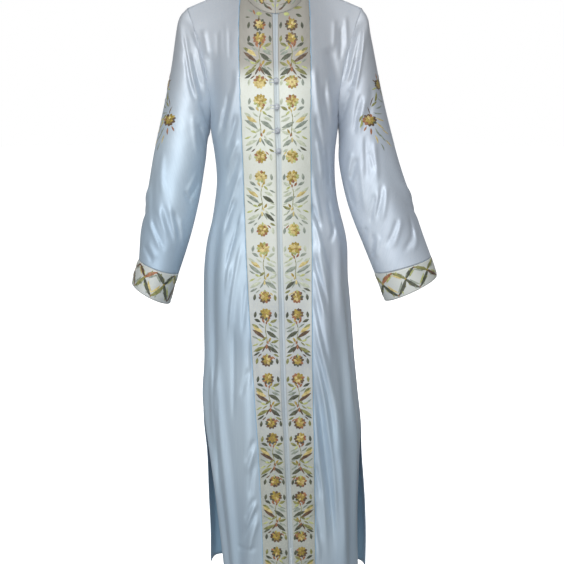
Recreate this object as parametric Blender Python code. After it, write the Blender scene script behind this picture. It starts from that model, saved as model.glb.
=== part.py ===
"""Long satin kaftan with a stand collar, side slits and embroidered front bands.

It hangs hollow in its worn form. The origin is the high shoulder point level at
the middle of the neck, where the wearer carries it. The front faces -Y, +Z is up,
and left and right are the wearer's own, so the left side lies at +X.
"""

import math

import bpy
import numpy as np

WALL = 0.0018               # thickness of the lined satin
SEAM = 0.00015              # each panel stops this far from a seam line
COLLAR_SEAM = 0.0004        # the collar stands this far above the neck seam
LIFT = 0.0003               # clearance of what lies on a panel
BAND_WALL = 0.0012
COLLAR_WALL = 0.0022
CUFF_WALL = 0.0022

UNDERARM_Z = -0.310
SLIT_TOP_Z = -0.958
HEM_Z = -1.440

BAND_MARGIN = 0.006         # from the centre line to the inner edge of a band
BAND_TOP_CLEARANCE = 0.002  # from the neck seam down to the top of a band
COLLAR_HEIGHT = 0.038
COLLAR_LEAN = 0.16

BUTTON_HEIGHTS = (-0.203, -0.259, -0.311, -0.356)
BUTTON_RADIUS = 0.0055
BUTTON_OFFSET = 0.0001      # beyond the lift, to clear the facets of the fronts
LOOP_RADIUS = 0.0061
CORD_RADIUS = 0.0010
LOOP_TAIL = 0.010

BAND_COLUMNS = 4            # quads across a band
SIDE_COLUMNS = 9            # quads from a band to the side seam
SLIT_ROWS = 10              # quads from the hem to the top of a slit
HIP_ROWS = 15               # quads from the top of a slit to the underarm
UNDERARM_ROW = SLIT_ROWS + HIP_ROWS
YOKE_ROWS = 10              # quads from the underarm to the shoulder
BACK_NECK_COLUMNS = 8
BACK_SIDE_COLUMNS = 7
COLLAR_ROWS = 2
CUFF_ROWS = 2

# Level sections of the body, from the underarm to the hem. The four edges are
# the side edges of the fronts and the back, which part below the top of a slit,
# each by its side's gap to the front and to the rear.
BODY_NAMES = ("z", "right_front", "right_back", "right_gap", "left_front", "left_back",
              "left_gap", "front", "back", "centre", "right_band", "left_band")
BODY_SECTIONS = (
    (-0.310, -0.1490, -0.1490, 0.000, 0.1470, 0.1470, 0.000, -0.120, 0.105, 0.0070, 0.0790, 0.0725),
    (-0.360, -0.1420, -0.1420, 0.000, 0.1415, 0.1415, 0.000, -0.119, 0.099, 0.0095, 0.0800, 0.0710),
    (-0.434, -0.1360, -0.1360, 0.000, 0.1420, 0.1420, 0.000, -0.110, 0.090, 0.0105, 0.0790, 0.0715),
    (-0.481, -0.1410, -0.1410, 0.000, 0.1480, 0.1480, 0.000, -0.109, 0.091, 0.0110, 0.0785, 0.0720),
    (-0.530, -0.1490, -0.1490, 0.000, 0.1600, 0.1600, 0.000, -0.111, 0.098, 0.0115, 0.0775, 0.0725),
    (-0.577, -0.1590, -0.1590, 0.000, 0.1710, 0.1710, 0.000, -0.115, 0.107, 0.0125, 0.0770, 0.0727),
    (-0.640, -0.1660, -0.1660, 0.000, 0.1730, 0.1730, 0.000, -0.119, 0.115, 0.0140, 0.0760, 0.0715),
    (-0.724, -0.1680, -0.1680, 0.000, 0.1810, 0.1810, 0.000, -0.123, 0.119, 0.0165, 0.0745, 0.0695),
    (-0.850, -0.1690, -0.1690, 0.000, 0.1925, 0.1925, 0.000, -0.126, 0.121, 0.0195, 0.0705, 0.0680),
    (-0.958, -0.1770, -0.1770, 0.000, 0.2040, 0.2040, 0.000, -0.128, 0.122, 0.0230, 0.0680, 0.0670),
    (-1.030, -0.1700, -0.1785, 0.010, 0.2100, 0.2130, 0.005, -0.129, 0.123, 0.0270, 0.0672, 0.0655),
    (-1.110, -0.1590, -0.1730, 0.021, 0.2090, 0.2170, 0.009, -0.130, 0.123, 0.0305, 0.0667, 0.0630),
    (-1.245, -0.1420, -0.1710, 0.034, 0.2070, 0.2280, 0.013, -0.132, 0.124, 0.0360, 0.0672, 0.0600),
    (-1.355, -0.1305, -0.1685, 0.042, 0.2085, 0.2330, 0.016, -0.133, 0.125, 0.0395, 0.0680, 0.0580),
    (-1.440, -0.1225, -0.1700, 0.046, 0.2100, 0.2330, 0.018, -0.134, 0.125, 0.0410, 0.0680, 0.0565),
)
SQUARENESS = 2.3            # exponent of the body's rounded sections

# Yoke: above the underarm each column is an arc from the underarm row to the
# neck seam or the shoulder seam, drawn by the point where its end lines meet.
NECK_HALF_WIDTH = 0.074
NECK_CENTRE_X = 0.002
NECK_FRONT = (-0.062, -0.058)       # y and z of the middle of the front neck
NECK_BACK = (0.056, -0.004)
SHOULDER_NECK_Z = 0.0
SHOULDER_CROWN = 0.003      # rise of the shoulder seam between its ends
ARMHOLE_TOP = (0.198, 0.0, -0.0435)
YOKE_NAMES = ("x", "front_y", "front_z", "back_y", "back_z")
YOKE_ARCS = {
    "centre": (0.003, -0.128, -0.155, 0.120, -0.130),
    "neck": (0.081, -0.118, -0.088, 0.108, -0.085),
    "armhole": (0.136, -0.100, -0.205, 0.098, -0.205),
}

# Sleeves, from the armhole to the foot of the cuff: the line under the arm, the
# line over it, the half depth and the forward reach of each ring.
SLEEVE_NAMES = ("under_x", "under_z", "over_x", "over_z", "depth", "forward")
RIGHT_SLEEVE = (
    (0.1490, -0.3100, 0.1980, -0.0435, 0.050, 0.000),
    (0.1495, -0.3150, 0.2150, -0.0630, 0.055, 0.001),
    (0.1500, -0.3200, 0.2235, -0.0950, 0.059, 0.003),
    (0.1515, -0.3270, 0.2335, -0.1600, 0.061, 0.006),
    (0.1560, -0.3420, 0.2516, -0.2480, 0.061, 0.010),
    (0.1605, -0.3860, 0.2725, -0.3350, 0.060, 0.015),
    (0.1700, -0.4450, 0.2880, -0.4100, 0.059, 0.020),
    (0.1825, -0.5050, 0.3000, -0.4830, 0.057, 0.026),
    (0.2015, -0.5750, 0.3145, -0.5530, 0.056, 0.033),
    (0.2260, -0.6480, 0.3190, -0.6130, 0.056, 0.041),
    (0.2380, -0.6840, 0.3290, -0.6405, 0.057, 0.045),
    (0.2470, -0.7190, 0.3365, -0.6680, 0.058, 0.048),
)
LEFT_SLEEVE = (
    (0.1470, -0.3100, 0.1980, -0.0435, 0.050, 0.000),
    (0.1480, -0.3160, 0.2115, -0.0640, 0.055, 0.001),
    (0.1485, -0.3230, 0.2175, -0.0940, 0.059, 0.003),
    (0.1490, -0.3320, 0.2305, -0.1580, 0.061, 0.006),
    (0.1490, -0.3500, 0.2505, -0.2480, 0.061, 0.010),
    (0.1490, -0.3870, 0.2735, -0.3350, 0.060, 0.015),
    (0.1595, -0.4450, 0.2945, -0.4050, 0.058, 0.020),
    (0.1765, -0.5050, 0.3210, -0.4780, 0.056, 0.026),
    (0.2060, -0.5780, 0.3450, -0.5480, 0.053, 0.033),
    (0.2345, -0.6470, 0.3670, -0.6080, 0.050, 0.041),
    (0.2470, -0.6810, 0.3760, -0.6310, 0.050, 0.045),
    (0.2595, -0.7130, 0.3810, -0.6530, 0.050, 0.048),
)
CUFF_START = 9.0            # ring of the cuff seam, in rows of the tables
CUFF_END = 11.0
SLEEVE_STEPS = (0, 0.4, 0.8, 1.3, 1.9, 2.5, 3.1, 3.7, 4.3, 4.9, 5.5, 6.1, 6.7, 7.3, 7.9, 8.5, 9.0)
ARMHOLE_FADE = 1.5          # rows over which a sleeve's rings round out

# Largest folds. "across" runs from 0 at the centre line to 1 at a side seam, and
# on the back from -1 on the right to 1 on the left. Depth is a ridge when above 0.
FOLD_NAMES = ("high_across", "high_z", "low_across", "low_z", "width", "depth")
FRONT_LEFT_FOLDS = (
    (0.36, -0.50, 0.56, -1.44, 0.07, 0.0060),
    (0.46, -0.55, 0.68, -1.44, 0.07, -0.0050),
    (0.56, -0.46, 0.80, -1.44, 0.08, 0.0065),
    (0.68, -0.62, 0.90, -1.44, 0.06, -0.0040),
)
FRONT_RIGHT_FOLDS = (
    (0.50, -0.44, 0.60, -1.44, 0.08, 0.0055),
    (0.62, -0.52, 0.74, -1.44, 0.07, -0.0045),
    (0.76, -0.46, 0.88, -1.44, 0.07, 0.0050),
)
BACK_FOLDS = (
    (-0.62, -0.50, -0.74, -1.44, 0.09, 0.0065),
    (-0.40, -0.46, -0.46, -1.44, 0.09, -0.0050),
    (-0.16, -0.48, -0.18, -1.44, 0.09, 0.0060),
    (0.10, -0.52, 0.12, -1.44, 0.09, -0.0050),
    (0.36, -0.46, 0.42, -1.44, 0.09, 0.0065),
    (0.60, -0.50, 0.72, -1.44, 0.09, -0.0050),
)
FOLD_FADE = 0.12            # height over which a fold grows from its upper end

# Sleeve folds, by angle round the arm in degrees (0 over the arm, 90 in front).
SLEEVE_FOLD_NAMES = ("high_angle", "high_row", "low_angle", "low_row", "width", "depth")
RIGHT_SLEEVE_FOLDS = (
    (20.0, 5.4, 120.0, 7.4, 24.0, 0.0045),
    (10.0, 6.4, 130.0, 8.4, 24.0, 0.0045),
    (-40.0, 5.6, -130.0, 7.6, 26.0, 0.0040),
    (175.0, 5.0, 100.0, 6.6, 22.0, -0.0035),
)
LEFT_SLEEVE_FOLDS = (
    (110.0, 4.4, 60.0, 8.2, 22.0, 0.0050),
    (60.0, 5.0, 20.0, 8.6, 22.0, -0.0040),
    (-60.0, 5.2, -110.0, 8.0, 26.0, 0.0040),
    (150.0, 6.0, 110.0, 8.6, 22.0, -0.0035),
)

# Colour, roughness, metallic
FINISHES = {
    "satin": ((0.47, 0.60, 0.70), 0.38, 0.0),
    "satin_back": ((0.35, 0.48, 0.58), 0.45, 0.0),
    "band": ((0.64, 0.68, 0.67), 0.45, 0.0),
    "cuff": ((0.58, 0.62, 0.60), 0.45, 0.0),
    "button": ((0.70, 0.73, 0.76), 0.30, 0.2),
    "cord": ((0.55, 0.60, 0.62), 0.55, 0.0),
}


def clear_scene():
    for obj in list(bpy.data.objects):
        bpy.data.objects.remove(obj, do_unlink=True)


def curve_through(keys, values, at):
    """Smooth curve through the values of one table column."""
    keys = np.asarray(keys, float)
    values = np.asarray(values, float)
    slopes = np.gradient(values, keys)
    at = np.clip(at, keys[0], keys[-1])
    i = np.clip(np.searchsorted(keys, at, side="right") - 1, 0, len(keys) - 2)
    span = keys[i + 1] - keys[i]
    t = (at - keys[i]) / span
    return ((2 * t**3 - 3 * t**2 + 1) * values[i] + (t**3 - 2 * t**2 + t) * span * slopes[i]
            + (3 * t**2 - 2 * t**3) * values[i + 1] + (t**3 - t**2) * span * slopes[i + 1])


def read(table, names, column, keys, at):
    return float(curve_through(keys, [row[names.index(column)] for row in table], at))


def body(column, z):
    """A column of the body's table at the height z."""
    levels = [-row[0] for row in BODY_SECTIONS]
    return read(BODY_SECTIONS, BODY_NAMES, column, levels, -z)


def unit(vector):
    vector = np.asarray(vector, float)
    return vector / np.linalg.norm(vector)


def without(vector, direction):
    """The part of a vector that is square to a direction, as a unit vector."""
    direction = unit(direction)
    return unit(vector - np.dot(vector, direction) * direction)


def body_levels():
    """Heights of the level rows, from the hem up to the underarm."""
    slit = np.linspace(HEM_Z, SLIT_TOP_Z, SLIT_ROWS + 1)
    hips = np.linspace(SLIT_TOP_Z, UNDERARM_Z, HIP_ROWS + 1)
    return list(slit) + list(hips[1:])


def half_section(z, side, half, angle):
    """Point of a level section; angle 0 is the centre line, 90 degrees the side."""
    middle = body("centre", z)
    reach = body(f"{side}_{half}", z) - middle
    depth = body(half, z)
    away = body(f"{side}_gap", z) if z < SLIT_TOP_Z else 0.0
    edge_y = -away if half == "front" else away
    power = 2.0 / SQUARENESS
    return np.array((middle + reach * math.sin(angle) ** power,
                     edge_y + (depth - edge_y) * max(math.cos(angle), 0.0) ** power, z))


def angle_at(fraction):
    """Section angle at a fraction of the way across, measured along X."""
    return math.asin(min(fraction, 1.0) ** (SQUARENESS / 2.0))


def front_angles(z, side):
    """Section angles of a front's columns: centre line, band, then side."""
    reach = abs(body(f"{side}_front", z) - body("centre", z))
    inner = BAND_MARGIN / reach
    outer = body(f"{side}_band", z) / reach
    first = [0.0] + [angle_at(f) for f in np.linspace(inner, outer, BAND_COLUMNS + 1)]
    last = first[-1]
    rest = [last + (math.pi / 2 - last) * k / SIDE_COLUMNS for k in range(1, SIDE_COLUMNS + 1)]
    return first + rest


def back_angles():
    """Signed section angles of the back's columns, from right to left."""
    count = BACK_NECK_COLUMNS + 2 * BACK_SIDE_COLUMNS
    return [math.pi / 2 * (2.0 * k / count - 1.0) for k in range(count + 1)]


def neck_point(angle, half):
    """Point of the neck seam; angle 0 is the middle, 90 degrees the left shoulder."""
    y, z = NECK_FRONT if half == "front" else NECK_BACK
    across = math.cos(angle)
    return np.array((NECK_CENTRE_X * across + NECK_HALF_WIDTH * math.sin(angle),
                     y * across, SHOULDER_NECK_Z + (z - SHOULDER_NECK_Z) * abs(across) ** 1.3))


def shoulder_point(fraction, sign):
    """Point of a shoulder seam, from the neck out to the armhole."""
    start = np.array((sign * NECK_HALF_WIDTH, 0.0, SHOULDER_NECK_Z))
    end = np.array((sign * ARMHOLE_TOP[0], ARMHOLE_TOP[1], ARMHOLE_TOP[2]))
    crown = SHOULDER_CROWN * math.sin(math.pi * fraction)
    return start + (end - start) * fraction + np.array((0.0, 0.0, crown))


def yoke_arc(name, half, sign):
    row = dict(zip(YOKE_NAMES, YOKE_ARCS[name]))
    x = row["x"] if name == "centre" else sign * row["x"]
    return np.array((x, row[f"{half}_y"], row[f"{half}_z"]))


def arc(low, bend, high, t):
    return (1 - t) ** 2 * low + 2 * t * (1 - t) * bend + t**2 * high


def yoke_bend(place, half, sign):
    """Meeting point of a yoke arc's end lines; place is 0 centre, 1 neck, 2 armhole."""
    if place <= 1.0:
        first, last, t = "centre", "neck", place
    else:
        first, last, t = "neck", "armhole", place - 1.0
    return yoke_arc(first, half, sign) * (1 - t) + yoke_arc(last, half, sign) * t


def fold_depth(folds, across, z):
    """Height of the folds at one place of a panel."""
    total = 0.0
    for row in folds:
        fold = dict(zip(FOLD_NAMES, row))
        t = (fold["high_z"] - z) / (fold["high_z"] - fold["low_z"])
        if t <= 0.0:
            continue
        here = fold["high_across"] + (fold["low_across"] - fold["high_across"]) * t
        grown = min((fold["high_z"] - z) / FOLD_FADE, 1.0)
        share = math.exp(-(((across - here) / fold["width"]) ** 2))
        total += fold["depth"] * share * grown * grown * (3 - 2 * grown)
    return total


def grid_normals(grid, closed):
    """Unit normals of a grid, turned away from its middle."""
    if closed:
        across = np.roll(grid, -1, axis=1) - np.roll(grid, 1, axis=1)
    else:
        across = np.gradient(grid, axis=1)
    along = np.gradient(grid, axis=0)
    normals = np.cross(across, along)
    lengths = np.linalg.norm(normals, axis=2, keepdims=True)
    normals = normals / np.maximum(lengths, 1e-12)
    outward = np.sum(normals * (grid - grid.reshape(-1, 3).mean(axis=0))) > 0
    return (normals, False) if outward else (-normals, True)


def with_folds(grid, closed, depths):
    normals, _ = grid_normals(grid, closed)
    return grid + normals * np.asarray(depths)[..., None]


def make_material(name, finish):
    colour, roughness, metallic = FINISHES[finish]
    material = bpy.data.materials.new(f"{name}_{finish}")
    material.use_nodes = True
    shader = material.node_tree.nodes["Principled BSDF"]
    shader.inputs["Base Color"].default_value = (*colour, 1.0)
    shader.inputs["Roughness"].default_value = roughness
    shader.inputs["Metallic"].default_value = metallic
    material.diffuse_color = (*colour, 1.0)
    return material


def make_object(name, points, faces, finish):
    mesh = bpy.data.meshes.new(name)
    mesh.from_pydata([tuple(p) for p in points], [], faces)
    mesh.update()
    mesh.shade_smooth()
    mesh.materials.append(make_material(name, finish))
    obj = bpy.data.objects.new(name, mesh)
    bpy.context.scene.collection.objects.link(obj)
    return obj


def seam_edges(grid, normals, seams, wall, gap):
    """Pulls seam edges back, and turns their normals square to the seams' directions.

    A seam is (rows, columns, direction across it, guide normal or None).
    """
    crossings = {}
    guides = {}
    for rows, columns, direction, guide in seams:
        for r in rows:
            for c in columns:
                across = direction(r, c) if callable(direction) else direction
                crossings.setdefault((r, c), []).append(unit(across))
                if guide is not None:
                    guides[r, c] = guide(r, c)
    outer = grid.copy()
    inward = normals * wall
    for (r, c), across in crossings.items():
        normal = guides.get((r, c), normals[r, c])
        if len(across) == 1:
            normal = without(normal, across[0])
            shift = -gap * across[0]
        else:
            first, second = across[0], across[1]
            square = unit(np.cross(first, second))
            normal = square if np.dot(square, normal) > 0 else -square
            shift = -gap * (first + second) / (1 + np.dot(first, second))
        lean = max(abs(np.dot(normal, normals[r, c])), 0.72)
        outer[r, c] = grid[r, c] + shift
        inward[r, c] = normal * wall / lean
    return outer, outer - inward


def wall_faces(rows, columns, closed):
    """Triangles of a closed wall between an outer and an inner grid of points."""
    inner = rows * columns
    wide = columns if closed else columns - 1
    faces = []
    for r in range(rows - 1):
        for c in range(wide):
            d = (c + 1) % columns
            a, b = r * columns + c, r * columns + d
            e, f = (r + 1) * columns + c, (r + 1) * columns + d
            faces += [(a, b, f), (a, f, e)]
            faces += [(inner + a, inner + f, inner + b), (inner + a, inner + e, inner + f)]
    for c in range(wide):
        d = (c + 1) % columns
        faces += [(d, c, inner + c), (d, inner + c, inner + d)]
        a, b = (rows - 1) * columns + c, (rows - 1) * columns + d
        faces += [(a, b, inner + b), (a, inner + b, inner + a)]
    if not closed:
        for r in range(rows - 1):
            a, e = r * columns, (r + 1) * columns
            faces += [(a, e, inner + e), (a, inner + e, inner + a)]
            b, f = a + columns - 1, e + columns - 1
            faces += [(f, b, inner + b), (f, inner + b, inner + f)]
    return faces


def make_wall(name, grid, finish, wall=WALL, closed=False, seams=(), gap=SEAM):
    normals, flipped = grid_normals(grid, closed)
    outer, inner = seam_edges(grid, normals, seams, wall, gap)
    faces = wall_faces(grid.shape[0], grid.shape[1], closed)
    if flipped:
        faces = [face[::-1] for face in faces]
    points = np.concatenate((outer.reshape(-1, 3), inner.reshape(-1, 3)))
    return make_object(name, points, faces, finish)


def front_grid(side):
    """Outer points of one front: level rows from the hem, then the yoke's arcs."""
    sign = 1.0 if side == "left" else -1.0
    folds = FRONT_LEFT_FOLDS if side == "left" else FRONT_RIGHT_FOLDS
    rows = []
    depths = []
    for z in body_levels():
        angles = front_angles(z, side)
        rows.append([half_section(z, side, "front", a) for a in angles])
        depths.append([fold_depth(folds, a / (math.pi / 2), z) for a in angles])
    last = len(angles) - 1
    neck = BAND_COLUMNS + 1
    inner_angle = math.asin(BAND_MARGIN / NECK_HALF_WIDTH)
    for r in range(1, YOKE_ROWS + 1):
        row = []
        for c in range(last + 1):
            if c <= neck:
                step = (c - 1) / BAND_COLUMNS
                turn = 0.0 if c == 0 else inner_angle + (math.pi / 2 - inner_angle) * step
                top = neck_point(sign * turn, "front")
                place = turn / (math.pi / 2)
            else:
                fraction = (c - neck) / SIDE_COLUMNS
                top = shoulder_point(fraction, sign)
                place = 1.0 + fraction
            low = rows[UNDERARM_ROW][c]
            row.append(arc(low, yoke_bend(place, "front", sign), top, r / YOKE_ROWS))
        rows.append(row)
        depths.append([0.0] * (last + 1))
    return with_folds(np.array(rows), False, depths)


def back_grid():
    """Outer points of both halves of the back, from right edge to left edge."""
    rows = []
    depths = []
    angles = back_angles()
    for z in body_levels():
        rows.append([half_section(z, "left" if a >= 0 else "right", "back", abs(a))
                     for a in angles])
        depths.append([fold_depth(BACK_FOLDS, a / (math.pi / 2), z) for a in angles])
    half = BACK_NECK_COLUMNS / 2
    middle = BACK_SIDE_COLUMNS + BACK_NECK_COLUMNS // 2
    for r in range(1, YOKE_ROWS + 1):
        row = []
        for c in range(len(angles)):
            steps = abs(c - middle)
            sign = 1.0 if c >= middle else -1.0
            if steps <= half:
                turn = math.pi / 2 * steps / half
                top = neck_point(sign * turn, "back")
                place = steps / half
            else:
                fraction = (steps - half) / BACK_SIDE_COLUMNS
                top = shoulder_point(fraction, sign)
                place = 1.0 + fraction
            low = rows[UNDERARM_ROW][c]
            row.append(arc(low, yoke_bend(place, "back", sign), top, r / YOKE_ROWS))
        rows.append(row)
        depths.append([0.0] * len(angles))
    return with_folds(np.array(rows), False, depths)


def armhole_direction(sign):
    """Direction through an armhole, from the body into the sleeve."""
    under_x = abs(body("left_front" if sign > 0 else "right_front", UNDERARM_Z))
    rise = np.array((ARMHOLE_TOP[0] - under_x, 0.0, ARMHOLE_TOP[2] - UNDERARM_Z))
    square = unit(np.array((rise[2], 0.0, -rise[0])))
    return np.array((sign * square[0], 0.0, square[2]))


def armhole_guide(point, sign):
    """Direction away from the middle of an armhole."""
    side = abs(body("left_front" if sign > 0 else "right_front", UNDERARM_Z))
    middle = np.array((sign * (side + ARMHOLE_TOP[0]) / 2, 0.0, (UNDERARM_Z + ARMHOLE_TOP[2]) / 2))
    away = (point - middle) * np.array((1.0, 2.4, 1.0))
    return without(away, armhole_direction(sign))


def neck_direction(point):
    """Direction across the neck seam, from the body into the collar."""
    inward = np.array((NECK_CENTRE_X - point[0], -0.003 - point[1], 0.0))
    return unit(0.6 * unit(inward) + np.array((0.0, 0.0, 1.0)))


def body_seams(grid, edges, neck, shoulders, across_side):
    """Seams that the fronts and the back share: sides, armholes, shoulders and neck.

    Edges pairs each edge column with its side's sign.
    """
    rows = grid.shape[0]
    seams = []
    for column, sign in edges:
        seams.append((range(SLIT_ROWS, UNDERARM_ROW + 1), [column], across_side, None))
        seams.append((range(UNDERARM_ROW, rows), [column],
                      lambda r, c, s=sign: armhole_direction(s),
                      lambda r, c, s=sign: armhole_guide(grid[r, c], s)))
    seams.append(([rows - 1], shoulders, across_side, None))
    seams.append(([rows - 1], neck, lambda r, c: neck_direction(grid[r, c]), None))
    return seams


def make_front(side, grid):
    sign = 1.0 if side == "left" else -1.0
    rows, columns = grid.shape[:2]
    neck = range(BAND_COLUMNS + 2)
    shoulders = range(BAND_COLUMNS + 1, columns)
    seams = body_seams(grid, [(columns - 1, sign)], neck, shoulders, (0.0, 1.0, 0.0))
    seams.append((range(rows), [0], (-sign, 0.0, 0.0), None))
    return make_wall(f"front_{side}", grid, "satin", seams=seams)


def make_back(side, grid):
    """One half of the back, from its side seam to the seam down the middle."""
    sign = 1.0 if side == "left" else -1.0
    middle = (grid.shape[1] - 1) // 2
    half = grid[:, middle:] if side == "left" else grid[:, :middle + 1]
    rows, columns = half.shape[:2]
    if side == "left":
        centre, edge, neck_end = 0, columns - 1, BACK_NECK_COLUMNS // 2
    else:
        centre, edge, neck_end = columns - 1, 0, BACK_SIDE_COLUMNS
    neck = range(min(centre, neck_end), max(centre, neck_end) + 1)
    shoulders = range(min(edge, neck_end), max(edge, neck_end) + 1)
    seams = body_seams(half, [(edge, sign)], neck, shoulders, (0.0, -1.0, 0.0))
    seams.append((range(rows), [centre], (-sign, 0.0, 0.0), None))
    return make_wall(f"back_{side}", half, "satin_back", seams=seams)


def make_band(side, grid):
    """Embroidered band on a front, made from the front's own points."""
    normals, flipped = grid_normals(grid, False)
    columns = slice(1, BAND_COLUMNS + 2)
    points = grid[:, columns].copy()
    facing = normals[:, columns]
    down = points[-2] - points[-1]
    points[-1] += down / np.linalg.norm(down, axis=1, keepdims=True) * BAND_TOP_CLEARANCE
    outer = points + facing * (LIFT + BAND_WALL)
    inner = points + facing * LIFT
    faces = wall_faces(points.shape[0], points.shape[1], False)
    if flipped:
        faces = [face[::-1] for face in faces]
    joined = np.concatenate((outer.reshape(-1, 3), inner.reshape(-1, 3)))
    return make_object(f"band_{side}", joined, faces, "band")


def make_collar(fronts, back):
    """Stand collar, from the left front end round the back to the right front end."""
    left = [fronts["left"][-1, c] for c in range(BAND_COLUMNS + 2)]
    right = [fronts["right"][-1, c] for c in range(BAND_COLUMNS + 2)]
    span = range(BACK_SIDE_COLUMNS + BACK_NECK_COLUMNS - 1, BACK_SIDE_COLUMNS, -1)
    seam = left + [back[-1, c] for c in span] + right[::-1]
    rows = []
    for r in range(COLLAR_ROWS + 1):
        row = []
        for point in seam:
            inward = unit(np.array((NECK_CENTRE_X - point[0], -point[1], 0.0)))
            rise = unit(COLLAR_LEAN * inward + np.array((0.0, 0.0, 1.0)))
            row.append(point + rise * COLLAR_HEIGHT * r / COLLAR_ROWS)
        rows.append(row)
    grid = np.array(rows)
    last = len(seam) - 1
    seams = [([0], range(last + 1), lambda r, c: -neck_direction(grid[0, c]), None),
             (range(COLLAR_ROWS + 1), [0], (-1.0, 0.0, 0.0), None),
             (range(COLLAR_ROWS + 1), [last], (1.0, 0.0, 0.0), None)]
    return make_wall("collar", grid, "band", wall=COLLAR_WALL, seams=seams, gap=COLLAR_SEAM)


def sleeve_ring(table, sign, at, angle):
    """Point of a sleeve's ring; angle 0 is over the arm, 90 degrees in front."""
    keys = range(len(table))
    under = np.array((sign * read(table, SLEEVE_NAMES, "under_x", keys, at), 0.0,
                      read(table, SLEEVE_NAMES, "under_z", keys, at)))
    over = np.array((sign * read(table, SLEEVE_NAMES, "over_x", keys, at), 0.0,
                     read(table, SLEEVE_NAMES, "over_z", keys, at)))
    depth = read(table, SLEEVE_NAMES, "depth", keys, at)
    forward = read(table, SLEEVE_NAMES, "forward", keys, at)
    middle = (under + over) / 2
    return (middle + (over - under) / 2 * math.cos(angle)
            + np.array((0.0, -depth * math.sin(angle) - forward, 0.0)))


def sleeve_angles():
    """Angles of a sleeve's columns, from under the arm round the front."""
    count = 2 * YOKE_ROWS
    return [math.pi * (1.0 - 2.0 * k / count) for k in range(count)]


def sleeve_fold_depth(folds, angle, at):
    total = 0.0
    for row in folds:
        fold = dict(zip(SLEEVE_FOLD_NAMES, row))
        t = (at - fold["high_row"]) / (fold["low_row"] - fold["high_row"])
        if not 0.0 < t < 1.0:
            continue
        here = fold["high_angle"] + (fold["low_angle"] - fold["high_angle"]) * t
        apart = (math.degrees(angle) - here + 180.0) % 360.0 - 180.0
        total += fold["depth"] * math.exp(-((apart / fold["width"]) ** 2)) * math.sin(math.pi * t)
    return total


def armhole_loop(front, back, sign):
    """Points of an armhole, from the underarm up the front and down the back."""
    column = front.shape[1] - 1
    back_column = back.shape[1] - 1 if sign > 0 else 0
    up = [front[UNDERARM_ROW + r, column] for r in range(YOKE_ROWS)]
    down = [back[UNDERARM_ROW + r, back_column] for r in range(YOKE_ROWS, 0, -1)]
    return up + down


def sleeve_grids(side, fronts, back):
    """Outer points of a sleeve and of its cuff."""
    sign = 1.0 if side == "left" else -1.0
    table = LEFT_SLEEVE if side == "left" else RIGHT_SLEEVE
    folds = LEFT_SLEEVE_FOLDS if side == "left" else RIGHT_SLEEVE_FOLDS
    angles = sleeve_angles()
    loop = armhole_loop(fronts[side], back, sign)
    rest = [loop[k] - sleeve_ring(table, sign, 0.0, a) for k, a in enumerate(angles)]
    rows = []
    depths = []
    for at in SLEEVE_STEPS:
        left = max(0.0, 1.0 - at / ARMHOLE_FADE) ** 2
        rows.append([sleeve_ring(table, sign, at, a) + rest[k] * left
                     for k, a in enumerate(angles)])
        depths.append([sleeve_fold_depth(folds, a, at) for a in angles])
    cuff = [[sleeve_ring(table, sign, at, a) for a in angles]
            for at in np.linspace(CUFF_START, CUFF_END, CUFF_ROWS + 1)]
    return with_folds(np.array(rows), True, depths), np.array(cuff)


def make_sleeve(side, grid, cuff):
    sign = 1.0 if side == "left" else -1.0
    along = unit(cuff[-1].mean(axis=0) - cuff[0].mean(axis=0))
    rows, columns = grid.shape[:2]
    seams = [([0], range(columns), -armhole_direction(sign),
              lambda r, c: armhole_guide(grid[0, c], sign)),
             ([rows - 1], range(columns), along, None)]
    make_wall(f"sleeve_{side}", grid, "satin", closed=True, seams=seams)
    cuff_seams = [([0], range(columns), -along, None)]
    make_wall(f"cuff_{side}", cuff, "cuff", wall=CUFF_WALL, closed=True, seams=cuff_seams)


def centre_point(grid, z):
    """Point of the centre line of the fronts at a height."""
    line = grid[:, 0]
    return np.array((np.interp(z, line[:, 2], line[:, 0]),
                     np.interp(z, line[:, 2], line[:, 1]), z))


def make_button(name, seat):
    """Ball button that sits on the centre line."""
    rings, around = 8, 12
    centre = seat + np.array((0.0, -(LIFT + BUTTON_OFFSET + BUTTON_RADIUS), 0.0))
    points = [centre + np.array((0.0, -BUTTON_RADIUS, 0.0))]
    for r in range(1, rings):
        polar = math.pi * r / rings
        for k in range(around):
            turn = 2 * math.pi * k / around
            points.append(centre + BUTTON_RADIUS * np.array(
                (math.sin(polar) * math.cos(turn), -math.cos(polar), math.sin(polar) * math.sin(turn))))
    points.append(centre + np.array((0.0, BUTTON_RADIUS, 0.0)))
    faces = []
    end = len(points) - 1
    for k in range(around):
        n = (k + 1) % around
        faces.append((0, 1 + k, 1 + n))
        low = 1 + (rings - 2) * around
        faces.append((end, low + n, low + k))
        for r in range(rings - 2):
            a, b = 1 + r * around + k, 1 + r * around + n
            faces += [(a, a + around, b + around), (a, b + around, b)]
    return make_object(name, points, faces, "button")


def make_loop(name, seat):
    """Cord loop round a button, with two tails on the right band."""
    height = LIFT * 2 + BAND_WALL + CORD_RADIUS
    centre = seat + np.array((0.0, -height, 0.0))
    opening = math.radians(32.0)
    path = []
    tail_z = LOOP_RADIUS * math.sin(opening)
    tail_x = -LOOP_RADIUS * math.cos(opening)
    for k in (2, 1):
        path.append(centre + np.array((tail_x - LOOP_TAIL * k / 2, 0.0, tail_z)))
    for k in range(13):
        turn = math.pi - opening - (2 * math.pi - 2 * opening) * k / 12
        path.append(centre + LOOP_RADIUS * np.array((math.cos(turn), 0.0, math.sin(turn))))
    for k in (1, 2):
        path.append(centre + np.array((tail_x - LOOP_TAIL * k / 2, 0.0, -tail_z)))
    return make_tube(name, path, CORD_RADIUS, 6, "cord")


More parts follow.
